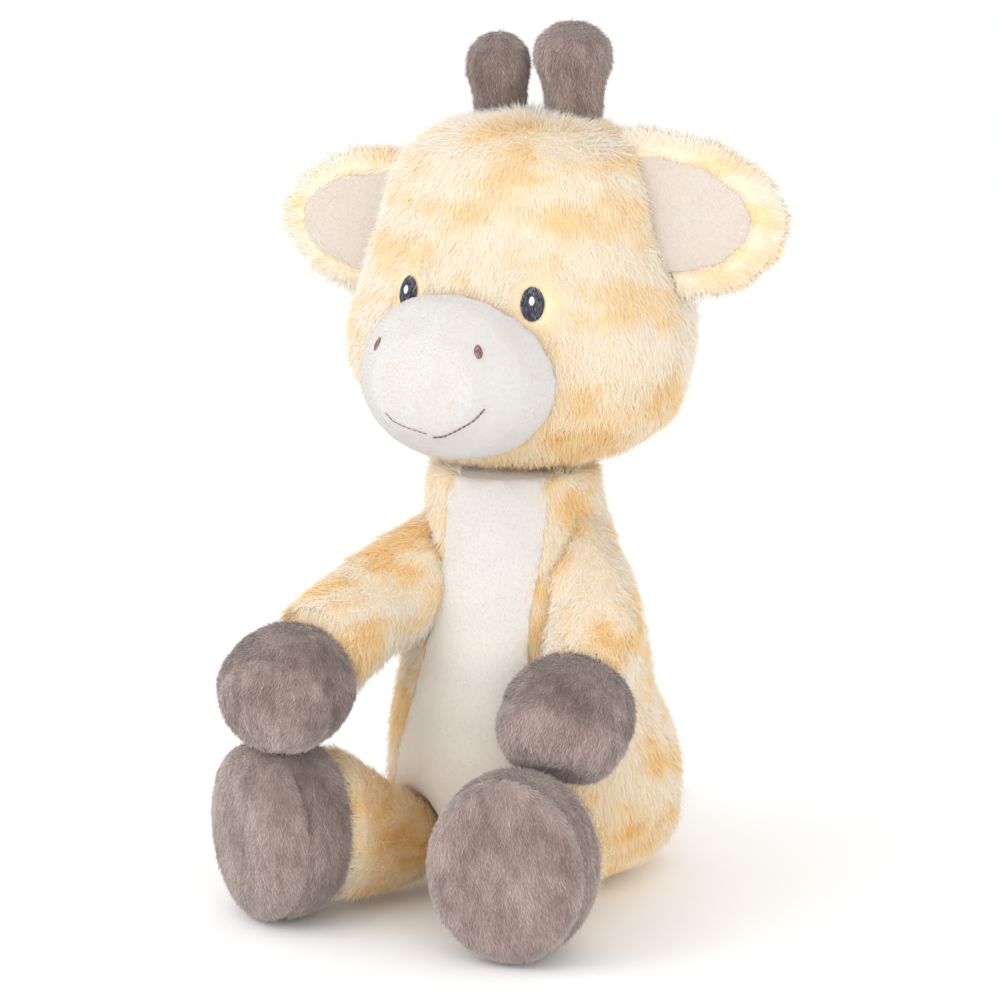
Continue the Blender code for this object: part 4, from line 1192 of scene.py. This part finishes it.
# satin stitches that fill a domed oval lying on a surface
def satin(name, centre, normal, size, radius, stitch, paint):
    width, height, dome = size
    form = bmesh.new()
    bmesh.ops.create_uvsphere(form, u_segments=satinSet["around"], v_segments=satinSet["upward"], radius=1)
    bmesh.ops.scale(form, verts=form.verts, vec=(width / 2, height / 2, dome))
    columns = int(width / radius / satinSet["apart"])
    endJitter, jitter = satinSet["endJitter"], radius * satinSet["jitter"]
    for i in range(columns):
        x = (i + 0.5) / columns * 2 - 1
        half = math.sqrt(1 - x * x) * random.uniform(satinSet["shortest"], satinSet["longest"])
        steps = max(1, round(half * height / stitch))
        marks = [-half + 2 * half * j / steps for j in range(steps + 1)]
        for low, high in zip(marks, marks[1:]):
            ends = []
            for y in (low - satinSet["overlap"], high + satinSet["overlap"]):
                y = min(max(y + random.uniform(-endJitter, endJitter), -half), half)
                level = dome * math.sqrt(max(0, 1 - x * x - y * y)) + radius * satinSet["over"]
                ends.append(Vector((x * width / 2 + random.uniform(-1, 1) * jitter, y * height / 2, level)))
            layThread(form, ends[0], ends[1], radius)
    turn = normal.to_track_quat("Z", "Y").to_matrix().to_4x4()
    bmesh.ops.transform(form, verts=form.verts, matrix=Matrix.Translation(centre) @ turn)
    patch = meshObject(name, form)
    patch.data.materials.append(paint)
    return patch


lineSet = {"step": 0.25 * mm, "over": 0.5 * mm}


# a line of back stitches over a surface
def stitchLine(name, spots, tree, radius, stitch, paint):
    places = [seenAt(a, b, tree) for a, b in spots]
    line = []
    for (a, normalA), (b, normalB) in zip(places, places[1:]):
        steps = max(1, round((b - a).length / lineSet["step"]))
        line += [(a.lerp(b, i / steps), normalA.lerp(normalB, i / steps)) for i in range(steps)]
    form = bmesh.new()
    step = int(stitch / lineSet["step"])
    for i in range(0, len(line) - 2, step):
        (a, normalA), (b, normalB) = line[max(i - 1, 0)], line[min(i + step, len(line) - 1)]
        layThread(form, a + normalA * lineSet["over"], b + normalB * lineSet["over"], radius)
    sewn = meshObject(name, form)
    sewn.data.materials.append(paint)
    return sewn


# eyes with their highlights, and nostrils: how far over the cloth, the thread's radius and a stitch's length
threadLay = {"eye": (0.6 * mm, 0.22 * mm, 3.4 * mm), "glint": (1.6 * mm, 0.2 * mm, 3.0 * mm),
             "nostril": (0.25 * mm, 0.2 * mm, 2.4 * mm), "glintShift": (-0.2, 0, 1.2)}


# one satin patch of a kind, on the surface nearest to its place
def sewPatch(kind, name, place, tree, paint, shift=(0, 0, 0)):
    over, radius, stitch = threadLay[kind]
    near, outward, face, distance = tree.find_nearest(place)
    return satin(name, near + outward * over + Vector(shift) * mm, outward, [c * mm for c in faceSet[kind]],
                 radius, stitch, paint)


for s in sides:
    place = middleOf("eye_" + s) + Vector(faceSet["shift"][s]) * mm
    eye = sewPatch("eye", "eye" + s.title(), place, headTree, eyeThreadPaint)
    glint = sewPatch("glint", "eyeGlint" + s.title(), place, headTree, whiteThreadPaint,
                     threadLay["glintShift"])
    place = middleOf("nostril_" + s)
    nostril = sewPatch("nostril", "nostril" + s.title(), place, muzzleTree, nostrilThreadPaint)
    for thing in (eye, glint, nostril):
        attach(thing, "head")
    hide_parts("eye_" + s)
    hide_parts("nostril_" + s)

# the mouth's two lines, in the photo's frame, and the radius of their thread
mouthSet = {"mouthRight": ([(386, 412), (393, 420), (402, 425), (413, 429), (428, 433.5)], 0.22 * mm),
            "mouthLeft": ([(433, 436.6), (443, 436.4), (457, 430), (473, 421), (480, 414), (485, 408)],
                          0.40 * mm),
            "stitch": 2.4 * mm}
for name in ("mouthRight", "mouthLeft"):
    spots, radius = mouthSet[name]
    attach(stitchLine(name, spots, muzzleTree, radius, mouthSet["stitch"], mouthThreadPaint), "head")


# a padded piece: what it rides on, and the solid that it stands for
def carry(thing, owner, node):
    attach(thing, owner)
    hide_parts(node)


for s in sides:
    brushNap(linings[s], napVelour, 121, *brushed["lining"])
    carry(linings[s], s + "_ear", "ear_lining_" + s)

# each filling: what it rides on, and its size beside the solid's
fillings = {"body_stuffing": ("torso", 0.80), "head_stuffing": ("head", 0.90),
            "arm_stuffing_left": ("left_arm", 0.72), "arm_stuffing_right": ("right_arm", 0.72),
            "leg_stuffing_left": ("left_leg", 0.90), "leg_stuffing_right": ("right_leg", 0.90),
            "pellet_bag": ("torso", 0.90)}
fillingSkin = (5 * mm, 0, 4)
for node, (owner, shrunk) in fillings.items():
    lump = skinRound(node.replace("_", " ").title().replace(" ", ""), [node], *fillingSkin)
    centre = np.array(middleOf(node))
    setPoints(lump, centre + (points(lump) - centre) * shrunk)
    lump.data.materials.append(linenPaint if node == "pellet_bag" else fillingPaint)
    carry(lump, owner, node)

for thing, owner, fill, node in [(body, "torso", 0.8, "body_cover"), (belly, "torso", 0.7, "belly_panel"),
                                 (head, "head", 0.8, "head_cover"), (muzzle, "head", 0.9, "muzzle"),
                                 (tail, "tail", 0.7, "tail"), (tuft, "tail", 0.6, "tail_tuft")]:
    carry(thing, owner, node)
for s in sides:
    for things, owner, fill, node in [(arms, "_arm", 0.7, "arm_"), (hands, "_arm", 0.8, "hand_hoof_"),
                                      (legs, "_leg", 0.8, "leg_"), (feet, "_leg", 0.8, "foot_"),
                                      (soles, "_leg", 0.8, "sole_"), (ears, "_ear", 0.5, "ear_"),
                                      (horns, "_horn", 0.9, "horn_")]:
        carry(things[s], s + owner, node + s)
